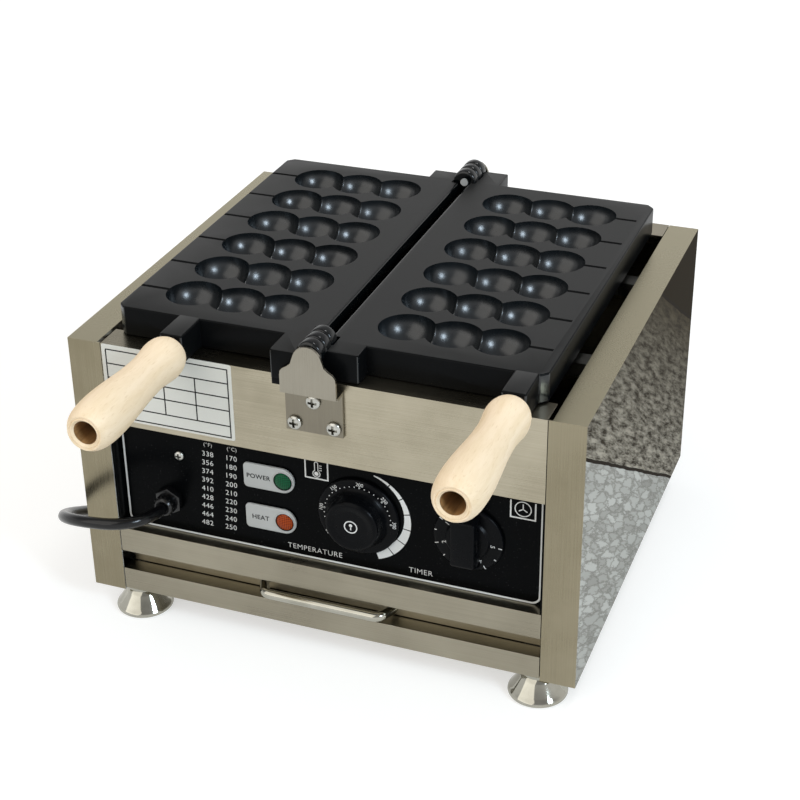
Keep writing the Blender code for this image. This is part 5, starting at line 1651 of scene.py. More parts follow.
    def bowls(self) -> Piece:
        """The underside bowls of one row, whose flat tops lie inside the deck.

        Returns:
            The bowls.
        """
        row = plain(lathe("bowls", self.ball_profile(self.bowl_radius, 24), 48),
                    Matrix.Translation((self.middle, 0, 0)) @ FACING_RIGHT)
        shape = bmesh.new()
        shape.from_mesh(row.data)
        bmesh.ops.bisect_plane(shape, geom=[*shape.verts, *shape.edges, *shape.faces],
                               plane_co=(0, 0, self.top - self.deck / 2), plane_no=(0, 0, 1),
                               clear_outer=True)
        bmesh.ops.holes_fill(shape, edges=[edge for edge in shape.edges if edge.is_boundary], sides=0)
        bpy.data.objects.remove(row)
        return solid("bowls", shape)

    def cavities(self) -> Piece:
        """The cavity of one row with the skewer's groove, which runs out through the left plate's edge only.

        Returns:
            The cutter.
        """
        profile = self.ball_profile(self.ball_radius, 36)
        pole = self.ball_pitch * (self.balls - 1) / 2
        rim = pole + math.sqrt(self.ball_radius ** 2 - self.groove_radius ** 2)
        end = 0.1 if self.hand is Hand.LEFT else self.groove_end
        profile = [point for point in profile if point[1] < rim - 0.0001]
        profile += [(self.groove_radius, rim), (self.groove_radius, end), (0, end)]
        return plain(lathe("cavities", profile, 72), Matrix.Translation((self.middle, 0, 0)) @ FACING_RIGHT)

    def lugs(self) -> list[Piece]:
        """The hinge lugs, the drop under the outer one and the handle boss.

        Returns:
            The shapes.
        """
        wall, low, side = self.skirt / 2, self.bottom + 0.0004, self.hand.value
        half = self.half_length
        ends = sorted((-side * self.boss_reach, -side * (half - wall)))
        return [
            block("inner_lug", (self.inner + 0.0004, self.inner_lug[1], low),
                  (self.inner_lug[0], wall - half, self.top), 0.001),
            block("outer_lug", (self.inner + 0.0004, half - wall, low),
                  (self.outer_lug[0], self.outer_lug[1], self.top), 0.001),
            block("lug_drop", (self.inner + 0.0008, self.lug_drop_y[0], self.bottom - self.lug_drop),
                  (self.outer_lug[0] - 0.0002, self.lug_drop_y[1], self.bottom + self.lug_drop), 0.0005),
            block("handle_boss", (self.handle_x - self.boss_width / 2, ends[0], low),
                  (self.handle_x + self.boss_width / 2, ends[1], self.top), 0.0014, 3),
        ]

    def along_hinge(self, name: str, radius: float, span: Flat, soft: float = 0.0) -> Piece:
        """A cylinder about the hinge axis.

        Args:
            name: its name.
            radius: its radius.
            span: where it starts and ends along Y.
            soft: the radius of its ends' edges.

        Returns:
            The cylinder.
        """
        outline = [(0, -span[1]), (radius, -span[1]), (radius, -span[0]), (0, -span[0])]
        return plain(lathe(name, rounded(outline, soft) if soft else outline, 48), FACING_FRONT)


@dataclass
class Grip:
    """A turned beech grip on its rod, with the bored end that hides the nut."""

    hand: Hand
    across: float
    seat_y: float = -0.1134
    height: float = 0.2315
    length: float = 0.1125
    radius: float = 0.016
    outline: tuple[Flat, ...] = (
        (0.56, 0.0), (0.76, 0.025), (0.88, 0.07), (0.91, 0.13), (0.85, 0.21), (0.81, 0.30), (0.84, 0.44),
        (0.92, 0.58), (0.99, 0.72), (1.0, 0.82), (0.97, 0.90), (0.88, 0.96), (0.72, 1.0),
    )
    bore: float = 0.0043
    pocket: float = 0.0078
    pocket_depth: float = 0.024
    ring: float = 0.0101

    def build(self) -> None:
        """Turn the grip and dress it."""
        points = [Vector((self.radius * wide, self.length * along)) for wide, along in self.outline]
        outside = [tuple(point) for point in smooth_through(points, self.length / 60)]
        floor = self.length - self.pocket_depth
        mouth = [(self.ring + 0.0004, self.length), (self.ring, self.length - 0.0004),
                 (self.ring - 0.0004, self.length), (self.pocket + 0.0014, self.length),
                 (self.pocket, self.length - 0.0014)]
        grip = lathe(f"beech_grip_{self.hand.word}",
                     [(self.bore, 0), (self.bore, floor), (self.pocket, floor), *mouth[::-1], *outside[::-1]],
                     64, ring=True)
        grip = plain(grip, Matrix.Translation((self.across, self.seat_y, self.height)) @ FACING_FRONT)
        settle(grip, BEECH, self.hand.body, Slot.BEECH, f"grip_{self.hand.word}", smooth=28.0)
        # The bore and its pocket take the darker wood: end grain tone with painted shade of the deep hole
        finish_faces(grip, SHADED_BORE_BEECH, lambda centre, normal: math.hypot(
            centre.x - self.across, centre.z - self.height) < self.pocket * 0.999)


@dataclass
class Knob:
    """What both knobs share: a place on the panel, a skirt and white marks that turn with the knob."""

    node: str
    body: Body
    across: float
    front: float = 0.0165
    gap: float = 0.0005
    skirt_height: float = 0.003

    @property
    def place(self) -> Matrix:
        """Where the knob's own frame stands, its Z towards the viewer."""
        return Matrix.Translation((self.across, PANEL_FACE_Y, KNOB_Z)) @ FACING_FRONT

    @property
    def skirt(self) -> float:
        """The skirt's radius, as its CAD node has it."""
        low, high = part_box(self.node)
        return (high.x - low.x) / 2

    def skirt_outline(self, inside: float) -> list[Flat]:
        """The skirt's outline from a radius on its face down to the axis at its back.

        Args:
            inside: the radius at which the outline starts.

        Returns:
            The outline.
        """
        face = self.gap + self.skirt_height
        return [(inside, face), (self.skirt - 0.0018, face), (self.skirt - 0.0006, face - 0.0005),
                (self.skirt, face - 0.0014), (self.skirt, self.gap), (0, self.gap)]

    def marks(self, items: Sequence[Piece], height: float) -> None:
        """Set the printed marks on the knob.

        Args:
            items: the marks in the knob's own frame.
            height: how high above the panel they lie.
        """
        marks = joined(f"{self.node}_marks", items, self.place @ Matrix.Translation((0, 0, height)))
        settle(marks, WHITE_INK, self.body, Slot.PALE_PLASTIC)

    def numbers(self, words: Sequence[str], first: float, step: float, radius: float,
                height: float) -> list[Piece]:
        """Numbers round the skirt, their feet to the middle.

        Args:
            words: the numbers.
            first: the first one's angle in degrees.
            step: the angle from number to number.
            radius: how far out they stand.
            height: the height of their characters.

        Returns:
            The numbers.
        """
        made = []
        for index, word in enumerate(words):
            angle = math.radians(first + step * index)
            made.append(lettering(word, height, (radius * math.cos(angle), radius * math.sin(angle)),
                                  angle - math.pi / 2))
        return made


@dataclass
class TemperatureKnob(Knob):
    """The round knob with a tapered cap, a dished face with a ring mark, and a skirt of numbers."""

    node: str = "temperature_knob"
    body: Body = Body.TEMPERATURE
    across: float = TEMPERATURE_X
    cap: float = 0.0188
    foot: float = 0.0228
    dish: float = 0.0010
    numerals: tuple[str, ...] = ("300", "250", "200", "150", "100", "50")
    first: float = -1.0
    step: float = 43.2
    parts: int = 5
    dot_ring: float = 0.0239
    number_ring: float = 0.0263
    number_height: float = 0.0026
    ring_radius: float = 0.0044
    ring_line: float = 0.0008

    def build(self) -> None:
        """Mould the knob and print its skirt."""
        front, rim, face = self.front, self.cap, self.gap + self.skirt_height
        outline = [(0, front - self.dish), (rim * 0.62, front - self.dish), (rim * 0.80, front - 0.0002),
                   (rim * 0.90, front), (rim, front - 0.0016), (rim + 0.0010, self.gap + 0.0075),
                   (self.foot - 0.0014, self.gap + 0.0045), (self.foot, face)]
        knob = lathe("dial_knob", rounded(outline + self.skirt_outline(self.foot + 0.0004), 0.0009, 3), 96)
        knob = plain(knob, self.place)
        settle(knob, PHENOLIC, self.body, Slot.BLACK_PLASTIC, self.node, smooth=30.0)
        rings = ((0.0004, self.step / self.parts, self.parts * (len(self.numerals) - 1) + 1),
                 (0.0007, self.step, len(self.numerals)))
        dots = [copies_round("dots", lathe("dot", [(0, INK), (radius, INK), (radius, 0), (0, 0)], 12),
                             WHITE_INK, count, self.dot_ring, self.first, step)
                for radius, step, count in rings]
        words = self.numbers(self.numerals, self.first, self.step, self.number_ring, self.number_height)
        self.marks([*dots, *words], face)
        self.ring_mark(front - self.dish)

    def ring_mark(self, height: float) -> None:
        """Print the ring with a pointer on the dished face.

        Args:
            height: how high above the panel the face lies.
        """
        ring = ribbon("ring", arc((0, 0), self.ring_radius, 0, 359.9, 48), self.ring_line)
        stem = ribbon("stem", [(0, -self.ring_radius / 2), (0, 0.0006)], self.ring_line)
        head = sheet("head", arc((0, 0.0012), 0.0012, 0, 330, 11), INK)
        mark = joined("temperature_ring_mark", [ring, stem, head],
                      self.place @ Matrix.Translation((0, 0, height)))
        settle(mark, WHITE_INK, self.body, Slot.PALE_PLASTIC)


@dataclass
class TimerKnob(Knob):
    """The round knob with a straight grip block across it and numbers round its skirt."""

    node: str = "timer_knob"
    body: Body = Body.TIMER
    across: float = TIMER_X
    hub: float = 0.0155
    hub_height: float = 0.0020
    foot_half: Flat = (0.0085, 0.0215)
    head_half: float = 0.0083
    head_span: Flat = (-0.0140, 0.0200)
    edge: float = 0.0018
    hollow: Sequence[float] = (0.0008, 0.0110, 0.0050)
    numerals: tuple[str, ...] = ("5", "4", "3", "2", "1", "0")
    step: float = -52.2
    number_first: float = -6.0
    number_ring: float = 0.0172
    number_height: float = 0.0030
    tick_ring: float = 0.0224
    tick_half: float = 0.0003
    tick_lengths: Flat = (0.0026, 0.0016)

    def build(self) -> None:
        """Mould the knob and print its skirt."""
        face = self.gap + self.skirt_height
        outline = [(0, face + self.hub_height), (self.hub * 0.92, face + self.hub_height), (self.hub, face)]
        base = lathe("timer_dial", rounded(outline + self.skirt_outline(self.hub + 0.001), 0.0006, 2), 96)
        knob = joined("timer_dial", [base, self.grip(face - 0.0005, self.front)], self.place)
        settle(knob, PHENOLIC, self.body, Slot.BLACK_PLASTIC, self.node, smooth=30.0)
        half, first, count = self.tick_half, self.number_first, len(self.numerals)
        ticks = [copies_round("ticks", sheet("tick", [(-long / 2, -half), (long / 2, -half), (long / 2, half),
                                                      (-long / 2, half)], INK),
                              WHITE_INK, number, self.tick_ring, start, self.step)
                 for long, start, number in ((self.tick_lengths[0], first, count),
                                             (self.tick_lengths[1], first + self.step / 2, count - 1))]
        words = self.numbers(self.numerals, first, self.step, self.number_ring, self.number_height)
        self.marks([*ticks, *words], face)

    def grip(self, low: float, high: float) -> Piece:
        """The upright grip block, with a shallow hollow in its right side.

        Args:
            low: the height of its foot above the panel.
            high: the height of its head.

        Returns:
            The block.
        """
        wide, reach = self.foot_half
        head, (start, end) = self.head_half, self.head_span
        shape = bmesh.new()
        foot, top = ([shape.verts.new((x, y, height)) for x, y in (
            (-half, near), (half, near), (half, far), (-half, far))] for half, near, far, height in (
                (wide, -reach, reach, low), (head, start, end, high)))
        shape.faces.new(foot)
        shape.faces.new(top)
        for index in range(4):
            after = (index + 1) % 4
            shape.faces.new((foot[index], foot[after], top[after], top[index]))
        bmesh.ops.recalc_face_normals(shape, faces=shape.faces)
        soften(shape, self.edge, 4)
        deep, long, tall = self.hollow
        middle = (low + high) / 2 + 0.0015
        hollow = block("hollow", (head - deep, -long / 2, middle - tall / 2),
                       (head + 0.002, long / 2, middle + tall / 2), 0.0007)
        return Carving(solid("grip", shape)).take(Carve.CUT, hollow).result()


@dataclass
class PanelPrint:
    """The white printing on the control panel, laid out in millimetres across and up from the base."""

    border_half: float = 151.0
    border_bottom: float = 54.5
    border_top: float = 138.0
    border_corner: float = 6.0
    border_width: float = 1.4
    fahrenheit_x: float = -87.0
    celsius_x: float = -69.0
    rows_top: float = 129.0
    rows_bottom: float = 65.8
    rows_lean: Flat = (1.5, -3.0)
    row_height: float = 3.9
    fahrenheit: tuple[int, ...] = (338, 356, 374, 392, 410, 428, 446, 464, 482)
    celsius: tuple[int, ...] = (170, 180, 190, 200, 210, 220, 230, 240, 250)
    wedge_centre: Flat = (27.0, 97.0)
    wedge_radius: float = 34.3
    wedge_span: Flat = (76.0, -72.0)
    wedge_parts: int = 7
    wedge_thickness: Flat = (0.8, 8.6)
    wedge_gap: float = 0.8
    headings: tuple[tuple[str, float], ...] = (("TEMPERATURE", -9.0), ("TIMER", 68.0))
    heading_middle: float = 61.0
    heading_weight: float = -0.012
    table_weight: float = -0.006
    spacing: float = 1.08
    bracket_line: float = 0.0010
    clock_line: float = 0.0007
    glass_line: float = 0.0006
    tick_line: float = 0.0005

    def build(self) -> None:
        """Print everything as one layer of ink."""
        items = [self.border(), *self.table(), *self.rising_scale(), *self.thermometer(), *self.clock()]
        items += [lettering(word, self.row_height / 1000, (across / 1000, self.heading_middle / 1000),
                            spacing=self.spacing, weight=self.heading_weight)
                  for word, across in self.headings]
        place = Matrix.Translation((0, PANEL_FACE_Y, FLOOR_TO_BASE)) @ FACING_FRONT
        settle(joined("panel_print", items, place), WHITE_INK, Body.CABINET, Slot.PALE_PLASTIC)

    def border(self) -> Piece:
        """The line down both sides and along the bottom, with round corners."""
        side, low, corner = self.border_half, self.border_bottom, self.border_corner
        points = [(-side, self.border_top), *arc((corner - side, low + corner), corner, 180, 270, 8),
                  *arc((side - corner, low + corner), corner, 270, 360, 8), (side, self.border_top)]
        return ribbon("border", [(x / 1000, z / 1000) for x, z in points], self.border_width / 1000)

    def table(self) -> list[Piece]:
        """The two columns of matching temperatures under their headings.

        Returns:
            The numbers.
        """
        made = []
        for across, heading, values in ((self.fahrenheit_x, "(°F)", self.fahrenheit),
                                        (self.celsius_x, "(°C)", self.celsius)):
            words = [heading, *(str(value) for value in values)]
            for index, word in enumerate(words):
                share = index / (len(words) - 1)
                height = self.rows_top - (self.rows_top - self.rows_bottom) * share
                middle = across + self.rows_lean[0] + (self.rows_lean[1] - self.rows_lean[0]) * share
                made.append(lettering(word, self.row_height / 1000, (middle / 1000, height / 1000),
                                      spacing=self.spacing, weight=self.table_weight))
        return made

    def rising_scale(self) -> list[Piece]:
        """The curved wedge in parts that widens clockwise round the temperature knob.

        Returns:
            The parts.
        """
        made = []
        first, last = self.wedge_span
        thin, thick = self.wedge_thickness
        gap = math.degrees(self.wedge_gap / self.wedge_radius)
        share = (last - first) / self.wedge_parts
        for part in range(self.wedge_parts):
            start, end = first + share * part - gap / 2, first + share * (part + 1) + gap / 2
            outer = arc(self.wedge_centre, self.wedge_radius, start, end, 8)
            inner = []
            for step in range(9):
                angle = start + (end - start) * step / 8
                width = thin + (thick - thin) * (angle - first) / (last - first)
                inner += arc(self.wedge_centre, self.wedge_radius - width, angle, angle, 1)[:1]
            made.append(sheet("scale", [(x / 1000, z / 1000) for x, z in outer + inner[::-1]], INK))
        return made

    def thermometer(self) -> list[Piece]:
        """The thermometer sign in its open bracket.

        Returns:
            The lines.
        """
        low, high = 0.1190, 0.1325
        middle, stem, bulb = -0.0056, 0.0012, 0.0026
        base = low + 0.0012 + bulb
        glass = [(middle - stem, base + 0.0022), (middle - stem, high - 0.0018),
                 *arc((middle, high - 0.0018), stem, 180, 0, 8), (middle + stem, base + 0.0022)]
        ticks = [ribbon("tick", [(middle + 0.0022, base + rise), (middle + 0.0040, base + rise)],
                        self.tick_line) for rise in (0.0030, 0.0048, 0.0066)]
        return [
            ribbon("bracket", [(-0.0136, high), (-0.0136, low), (0.0026, low), (0.0026, high)],
                   self.bracket_line),
            ribbon("glass", glass, self.glass_line),
            ribbon("bulb", arc((middle, base), bulb, 120, 420, 20), self.glass_line),
            sheet("mercury", arc((middle, base), bulb * 0.6, 0, 345, 23), INK),
            *ticks,
        ]

    def clock(self) -> list[Piece]:
        """The timer sign in its open bracket.

        Returns:
            The lines.
        """
        low, high = 0.1187, 0.1315
        centre, case = (0.1380, low + 0.0070), 0.0054
        hands = [ribbon("hand", [centre, (centre[0] + across, centre[1] + up)], self.clock_line)
                 for across, up in ((0.0, 0.0038), (0.0029, -0.0018), (-0.0029, -0.0018))]
        return [
            ribbon("bracket", [(0.1297, high), (0.1297, low), (0.1463, low), (0.1463, high)],
                   self.bracket_line),
            ribbon("case", arc(centre, case, 0, 359.9, 40), self.clock_line),
            *hands,
        ]


@dataclass
class RuledLabel:
    """A white label with ruled rows and columns and nothing written in them."""

    left: float = -0.1545
    right: float = -0.0590
    low: float = 0.143
    high: float = 0.200
    rows: tuple[float, ...] = (0.1962, 0.1857, 0.1751, 0.1652, 0.1536, 0.1450)
    columns: tuple[float, ...] = (-0.1330, -0.1097, -0.0863)
    corner: float = 0.0015
    margin: float = 0.0030
    line: float = 0.0009
    thickness: float = 0.00012

    def build(self) -> None:
        """Stick the label on the upper panel and rule it."""
        place = Matrix.Translation((0, FRONT_Y, FLOOR_TO_BASE)) @ FACING_FRONT
        left, right = self.left + self.corner, self.right - self.corner
        low, high = self.low + self.corner, self.high - self.corner
        outline = [point for centre, start in (((left, low), 180), ((right, low), 270), ((right, high), 0),
                                               ((left, high), 90))
                   for point in arc(centre, self.corner, start, start + 90, 5)]
        film = plain(sheet("blank_label", outline, self.thickness), place)
        settle(film, LABEL_FILM, Body.CABINET, Slot.PALE_PLASTIC)
        left, right = self.left + self.margin, self.right - self.margin
        top, bottom = self.rows[0], self.rows[-1]
        lines = [ribbon("frame", [(left, top), (right, top), (right, bottom), (left, bottom), (left, top)],
                        self.line)]
        lines += [ribbon("row", [(left, height), (right, height)], self.line) for height in self.rows[1:-1]]
        lines += [ribbon("column", [(across, self.rows[-2]), (across, self.rows[1])], self.line)
                  for across in self.columns]
        ruling = joined("label_ruling", lines, place @ Matrix.Translation((0, 0, self.thickness)))
        settle(ruling, BLACK_INK, Body.CABINET, Slot.PALE_PLASTIC)


@dataclass
class PilotLamp:
    """A pale front plate with its word, a round lens in a raised ring and the lamp's body behind."""

    word: str
    height: float
    lens_finish: Finish
    lens_slot: Slot
    middle: float = -0.040
    width: float = 0.0375
    tall: float = 0.019
    plate: float = 0.002
    corner: float = 0.003
    lens_offset: float = 0.0105
    lens_radius: float = 0.0062
    lens_rise: float = 0.0022
    play: float = 0.0002
    seat: float = 0.0009
    ring_width: float = 0.0014
    # Painted shade: the walls round the lens within this reach take black phenolic
    dark_rim: float = 0.0007
    body_width: float = 0.030
    body_tall: float = 0.014
    word_height: float = 0.0036
    word_offset: float = 0.0075
    word_spacing: float = 1.06
    word_weight: float = 0.018

    def build(self) -> None:
        """Mould the plate, its ring and its body, print the word and set the lens."""
        name = self.word.lower()
        seat = Matrix.Translation((self.middle, PANEL_FACE_Y - SEAT_GAP, self.height)) @ FACING_FRONT
        half, tall, corner = self.width / 2, self.tall / 2, self.corner
        outline = [*arc((corner - half, corner - tall), corner, 180, 270, 6),
                   *arc((half - tall, 0), tall, -90, 90, 28),
                   *arc((corner - half, tall - corner), corner, 90, 180, 6)]
        inner, outer, front = self.lens_radius + self.play, self.lens_radius + self.ring_width, self.plate
        hole = lathe("hole", [(0, self.seat), (inner, self.seat), (inner, 0.01), (0, 0.01)], 48)
        hole.matrix_world = Matrix.Translation((self.lens_offset, 0, 0))
        face = Carving(round_edges(sheet("face", outline, front), 0.0005, 3)).take(Carve.CUT, hole).result()
        ring = plain(lathe("ring", [(inner, front - 0.0008), (inner, front + 0.0003),
                                    (inner + 0.0004, front + 0.0006), (outer - 0.0004, front + 0.0006),
                                    (outer, front - 0.0002)], 64, ring=True),
                     Matrix.Translation((self.lens_offset, 0, 0)))
        _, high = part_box(f"{name}_lamp")
        depth = high.y - (PANEL_FACE_Y - SEAT_GAP)
        body = block("body", (-self.body_width / 2, -self.body_tall / 2, -depth),
                     (self.body_width / 2, self.body_tall / 2, 0.0008), 0.0006)
        lamp = joined(f"{name}_lamp_plate", [face, ring, body], seat)
        settle(lamp, POLYCARBONATE, Body.CABINET, Slot.PALE_PLASTIC, f"{name}_lamp")
        lens_place = seat @ Vector((self.lens_offset, 0, self.plate))
        # The walls round the lens are made black: painted shade of the gap round the lens
        finish_faces(lamp, PHENOLIC, lambda centre, normal: abs(normal.y) < 0.9 and math.hypot(
            centre.x - lens_place.x, centre.z - lens_place.z) < self.lens_radius + self.dark_rim)
        radius = self.lens_radius
        profile = [*dome(radius, 0.0, self.lens_rise, 10), (radius, 0), (radius, -0.0007), (0, -0.0007)]
        lens = plain(lathe(f"{name}_lamp_lens", profile, 56),
                     seat @ Matrix.Translation((self.lens_offset, 0, self.plate)))
        settle(lens, self.lens_finish, Body.CABINET, self.lens_slot, f"{name}_lens", smooth=40.0)
        text = lettering(self.word, self.word_height, (-self.word_offset, 0), spacing=self.word_spacing,
                         weight=self.word_weight)
        print_place = seat @ Matrix.Translation((0, 0, self.plate))
        settle(joined(f"{name}_lamp_word", [text], print_place), BLACK_INK, Body.CABINET, Slot.PALE_PLASTIC)


@dataclass
class CableGland:
    """The nylon gland: hexagon, ribbed dome nut with a round mouth, and its thread through the panel."""

    place_x: float = -0.117
    place_z: float = 0.102
    hex_radius: float = 0.0105
    hex_length: float = 0.0055
    dome_radius: float = 0.0078
    dome_length: float = 0.0085
    thread_radius: float = 0.006
    thread_length: float = 0.012
    thread_pitch: float = 0.0015
    thread_depth: float = 0.0007
    ribs: int = 14

    def build(self) -> None:
        """Mould the gland with ribs round its dome."""
        top = self.hex_length + self.dome_length
        nut = hexagon("hexagon", self.hex_radius, 0.0, self.hex_length, 0.0006)
        radius = self.dome_radius
        cap = lathe("dome", rounded([
            (0, top - 0.0012), (radius * 0.58, top - 0.0012), (radius * 0.62, top), (radius * 0.74, top),
            (radius * 0.90, top - self.dome_length * 0.22), (radius * 0.94, self.hex_length + 0.0004),
            (radius * 0.94, self.hex_length - 0.001), (0, self.hex_length - 0.001)], 0.0006), 56)
        rib = block("rib", (-0.0006, -0.0005, self.hex_length - 0.0005),
                    (radius * 0.06, 0.0005, top - self.dome_length * 0.30), 0.0003, 2)
        ribs = copies_round("ribs", rib, NYLON, self.ribs, radius * 0.93, 0.0, 360 / self.ribs)
        outline: list[Flat] = [(0, self.hex_length / 2), (self.thread_radius, self.hex_length / 2)]
        root, pitch = self.thread_radius - self.thread_depth, self.thread_pitch
        for turn in range(int(self.thread_length / pitch)):
            outline += [(self.thread_radius, -pitch * turn), (root, -pitch * (turn + 0.5))]
        outline += [(root, -self.thread_length), (0, -self.thread_length)]
        place = Matrix.Translation((self.place_x, PANEL_FACE_Y - SEAT_GAP, self.place_z)) @ FACING_FRONT
        gland = joined("cord_gland", [nut, cap, ribs, lathe("thread", outline, 40)], place)
        settle(gland, NYLON, Body.CABINET, Slot.BLACK_PLASTIC, "cable_gland")


@dataclass
class CrossScrews:
    """Pan-head screws with a cross recess: three on each hinge bracket and one on the panel."""

    shank: float = 0.0018
    length: float = 0.008
    head_height: float = 0.0028
    bracket_head: float = 0.005
    panel_head: float = 0.0035
    spread: float = 0.0137
    low: float = 0.1898
    high: float = 0.2073

    def build(self) -> None:
        """Set the screws."""
        places = ((-self.spread, self.low), (self.spread, self.low), (0.0, self.high))
        reach = SEAT_GAP * 2 + BRACKET_SHEET
        for end, seat_y, facing in (("front", FRONT_Y - reach, FACING_FRONT),
                                    ("rear", REAR_Y + reach, FACING_REAR)):
            screw = plain(self.screw(self.bracket_head), facing)
            screws = copies_at(f"{end}_bracket_screws", screw, ZINC, [(x, seat_y, z) for x, z in places])
            settle(screws, ZINC, Body.CABINET, Slot.ZINC,
                   *(f"hinge_screw_{end}_{word}" for word in ("left", "right", "top")))
        panel = plain(self.screw(self.panel_head),
                      Matrix.Translation((-0.1075, PANEL_FACE_Y - SEAT_GAP, 0.139)) @ FACING_FRONT)
        panel.name = "terminal_screw"
        settle(panel, ZINC, Body.CABINET, Slot.ZINC, "panel_screw")

    def screw(self, radius: float) -> Piece:
        """One screw about Z, its head above zero.

        Args:
            radius: the head's radius.

        Returns:
            The screw.
        """
        height, shoulder = self.head_height, self.head_height * 0.35
        outline = [*dome(radius, shoulder, height, 9), (radius, shoulder), (radius, 0.0002),
                   (radius - 0.0002, 0), (self.shank, 0), (self.shank, self.shank - self.length),
                   (0, -self.length)]
        body = Carving(lathe("screw", outline, 40))
        reach, slot = radius * 0.62, radius * 0.17
        for across, along in ((reach, slot), (slot, reach)):
            body.take(Carve.CUT, block("recess", (-across, -along, -height * 0.2),
                                       (across, along, height * 1.5)))
        return body.result()


@dataclass
class Feet:
    """Four flared chrome feet, each with its stud and nut through the base."""

    across: float = 0.150
    along: Flat = (-0.0856, 0.1984)
    rim: float = 0.0205
    height: float = 0.022
    neck: float = 0.011
    collar: float = 0.013
    outline: tuple[Flat, ...] = (
        (0.92, 0.0), (1.0, 0.06), (1.0, 0.14), (0.90, 0.27), (0.74, 0.50), (0.61, 0.70),
    )
    stud: float = 0.004
    stud_top: float = 0.0337
    nut: float = 0.0075
    nut_low: float = 0.0236
    nut_high: float = 0.0296

    def build(self) -> None:
        """Turn a foot and set it at the four corners."""
        flare = [Vector((self.rim * wide, self.height * up)) for wide, up in self.outline]
        curve = [tuple(point) for point in smooth_through(flare, 0.0012)]
        neck = [(self.neck, self.height * 0.78), (self.neck, self.height * 0.86),
                (self.collar, self.height * 0.88), (self.collar, self.height - 0.0002)]
        top = [(self.stud, self.height - 0.0002), (self.stud, self.stud_top - 0.0006),
               (self.stud - 0.0006, self.stud_top), (0, self.stud_top)]
        foot = lathe("foot", [(0, 0.0008), (self.rim * 0.80, 0.0008), *curve, *neck, *top], 64)
        shape = joined("foot", [foot, hexagon("nut", self.nut, self.nut_low, self.nut_high, 0.0005)])
        places = [(side * self.across, along, 0) for side in (-1, 1) for along in self.along]
        feet = copies_at("flared_feet", shape, CHROME, places)
        settle(feet, CHROME, Body.CABINET, Slot.CHROME, "foot_front_left", "foot_front_right",
               "foot_rear_left", "foot_rear_right")


@dataclass
class DrawerBow:
    """The chrome bow on the crumb drawer, with its screw heads inside the tray."""

    span: float = 0.096
    root_y: float = -0.0904
    reach: float = 0.016
    height: float = 0.0485
    radius: float = 0.0035
    taper: float = 0.006
    bend: float = 0.0045
    tray_back_y: float = -0.0888

    def build(self) -> None:
        """Bend the bow and add its screws."""
        half, bar = self.span / 2, self.root_y - self.reach
        corners = [(-half, self.root_y), (-half, self.root_y - self.radius), (self.taper - half, bar),
                   (half - self.taper, bar), (half, self.root_y - self.radius), (half, self.root_y)]
        path = rounded(corners, self.bend, 8)
        bow = plain(wire("bow", [(x, y, self.height) for x, y in path], self.radius, 6))
        head = lathe("head", [(0, 0.0024), (0.0023, 0.0022), (0.0038, 0.0012), (0.0042, 0.0002), (0.0042, 0),
                              (0.0015, 0), (0.0015, -0.0014), (0, -0.0014)], 32)
        screws = copies_at("heads", plain(head, FACING_REAR), CHROME,
                           [(side * half, self.tray_back_y, self.height) for side in (-1, 1)])
        settle(joined("drawer_bow", [bow, screws]), CHROME, Body.DRAWER, Slot.CHROME, "drawer_handle",
               smooth=50.0)


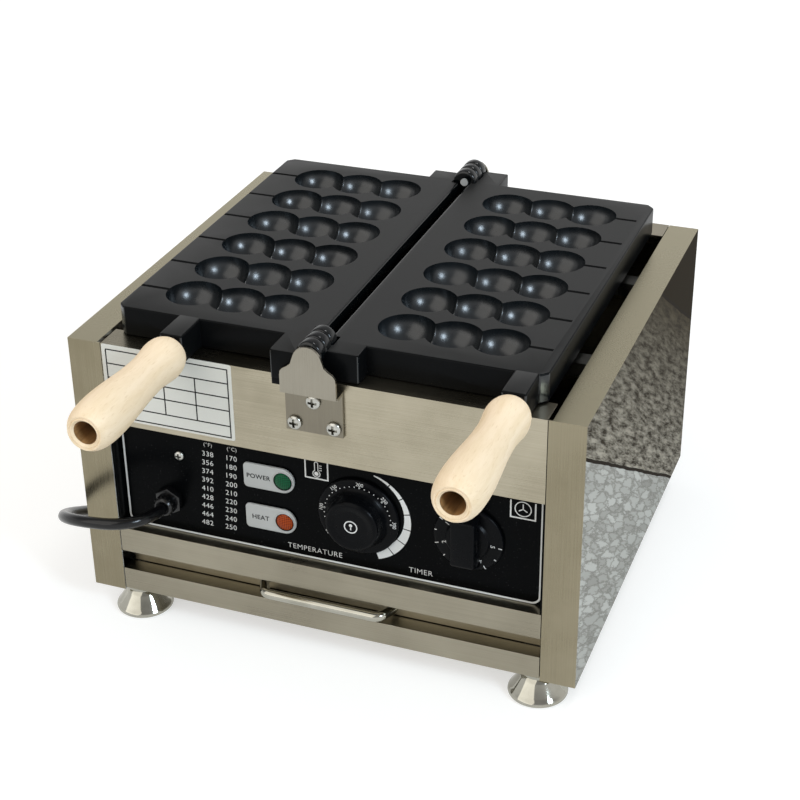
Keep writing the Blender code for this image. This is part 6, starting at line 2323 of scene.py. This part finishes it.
@dataclass
class FoldedSheets:
    """The cabinet's outer sheets and the hinge brackets, whose rounded folds and cut edges catch the light."""

    edge: float = 0.00042
    parts: dict[Finish, tuple[str, ...]] = field(default_factory=lambda: {
        SIDE_SHEET: ("side_panel_left", "side_panel_right"),
        FRONT_SHEET: ("rear_panel", "front_upper_panel"),
        RAIL_SHEET: ("lower_front_rail", "bottom_front_rail"),
        TAB_SHEET: ("hinge_bracket_front", "hinge_bracket_rear"),
    })
    tab_reach: float = 0.0035

    def build(self, nodes: dict[str, Piece]) -> None:
        """Copy each node's form, round its edges and put it in the node's place.

        Args:
            nodes: the frame's nodes by name.
        """
        for finish, names in self.parts.items():
            for name in names:
                piece = self.rounded_copy(nodes[name], f"{name}_sheet")
                settle(piece, finish, Body.CABINET, Slot.STAINLESS, name, smooth=10.0)
                if finish is TAB_SHEET:
                    finish_faces(piece, SHADED_SHEET, lambda centre, normal: min(
                        abs(centre.y - FRONT_Y), abs(centre.y - REAR_Y)) < self.tab_reach)

    def rounded_copy(self, node: Piece, name: str) -> Piece:
        """Copy a node's form with its edges rounded.

        Args:
            node: the CAD node.
            name: the copy's name.

        Returns:
            The copy.
        """
        shape = bmesh.new()
        shape.from_mesh(node.data)
        bmesh.ops.remove_doubles(shape, verts=shape.verts, dist=0.00001)
        bmesh.ops.dissolve_limit(shape, angle_limit=math.radians(1), verts=shape.verts, edges=shape.edges)
        return round_edges(solid(name, shape), self.edge, 2, 40.0)


@dataclass
class CarriedOver:
    """The CAD nodes whose shapes stay, each with a finish of its own."""

    finishes: dict[Finish, tuple[str, ...]] = field(default_factory=lambda: {
        RAIL_SHEET: ("crumb_tray", "base_plate"),
        PANEL_PAINT: ("control_panel",),
        PIN_STEEL: ("hinge_pin_front", "hinge_pin_rear"),
        ZINC: ("control_box", "drawer_runner_left", "drawer_runner_right", "element_support_front",
               "element_support_rear", "handle_nut_left", "handle_nut_right", "handle_rod_left",
               "handle_rod_right", "thermostat_body", "thermostat_shaft", "thermostat_probe", "timer_shaft"),
        HEATER: ("heating_element_left", "heating_element_right"),
        NYLON: ("cord_tie", "gland_locknut", "timer_body"),
        POLYCARBONATE: ("terminal_block",),
    })

    def dress(self, nodes: dict[str, Piece]) -> None:
        """Give each node its material.

        Args:
            nodes: the frame's nodes by name.
        """
        for finish, names in self.finishes.items():
            for name in names:
                slots = nodes[name].material_slots
                if not slots:
                    nodes[name].data.materials.append(finish.material())
                for slot in slots:
                    slot.material = finish.material()
                LOG.info("%s has %s", name, finish.name)


def main() -> None:
    """Load the frame, build the camera and the cord, then every other piece."""
    logging.basicConfig(level=logging.INFO, format="%(message)s")
    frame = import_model()
    bpy.context.scene.view_settings.view_transform = "Standard"
    Studio().build()
    MainsCord().build()
    CarriedOver().dress(frame["nodes"])
    FoldedSheets().build(frame["nodes"])
    MouldPlate(Hand.LEFT, 0.0955).build()
    MouldPlate(Hand.RIGHT, 0.1360).build()
    Grip(Hand.LEFT, -0.0955).build()
    Grip(Hand.RIGHT, 0.1360).build()
    TemperatureKnob().build()
    TimerKnob().build()
    PanelPrint().build()
    RuledLabel().build()
    PilotLamp("POWER", 0.135, GREEN, Slot.GREEN_LENS).build()
    PilotLamp("HEAT", 0.1025, ORANGE, Slot.ORANGE_LENS).build()
    CableGland().build()
    CrossScrews().build()
    Feet().build()
    DrawerBow().build()


if __name__ == "__main__":
    main()
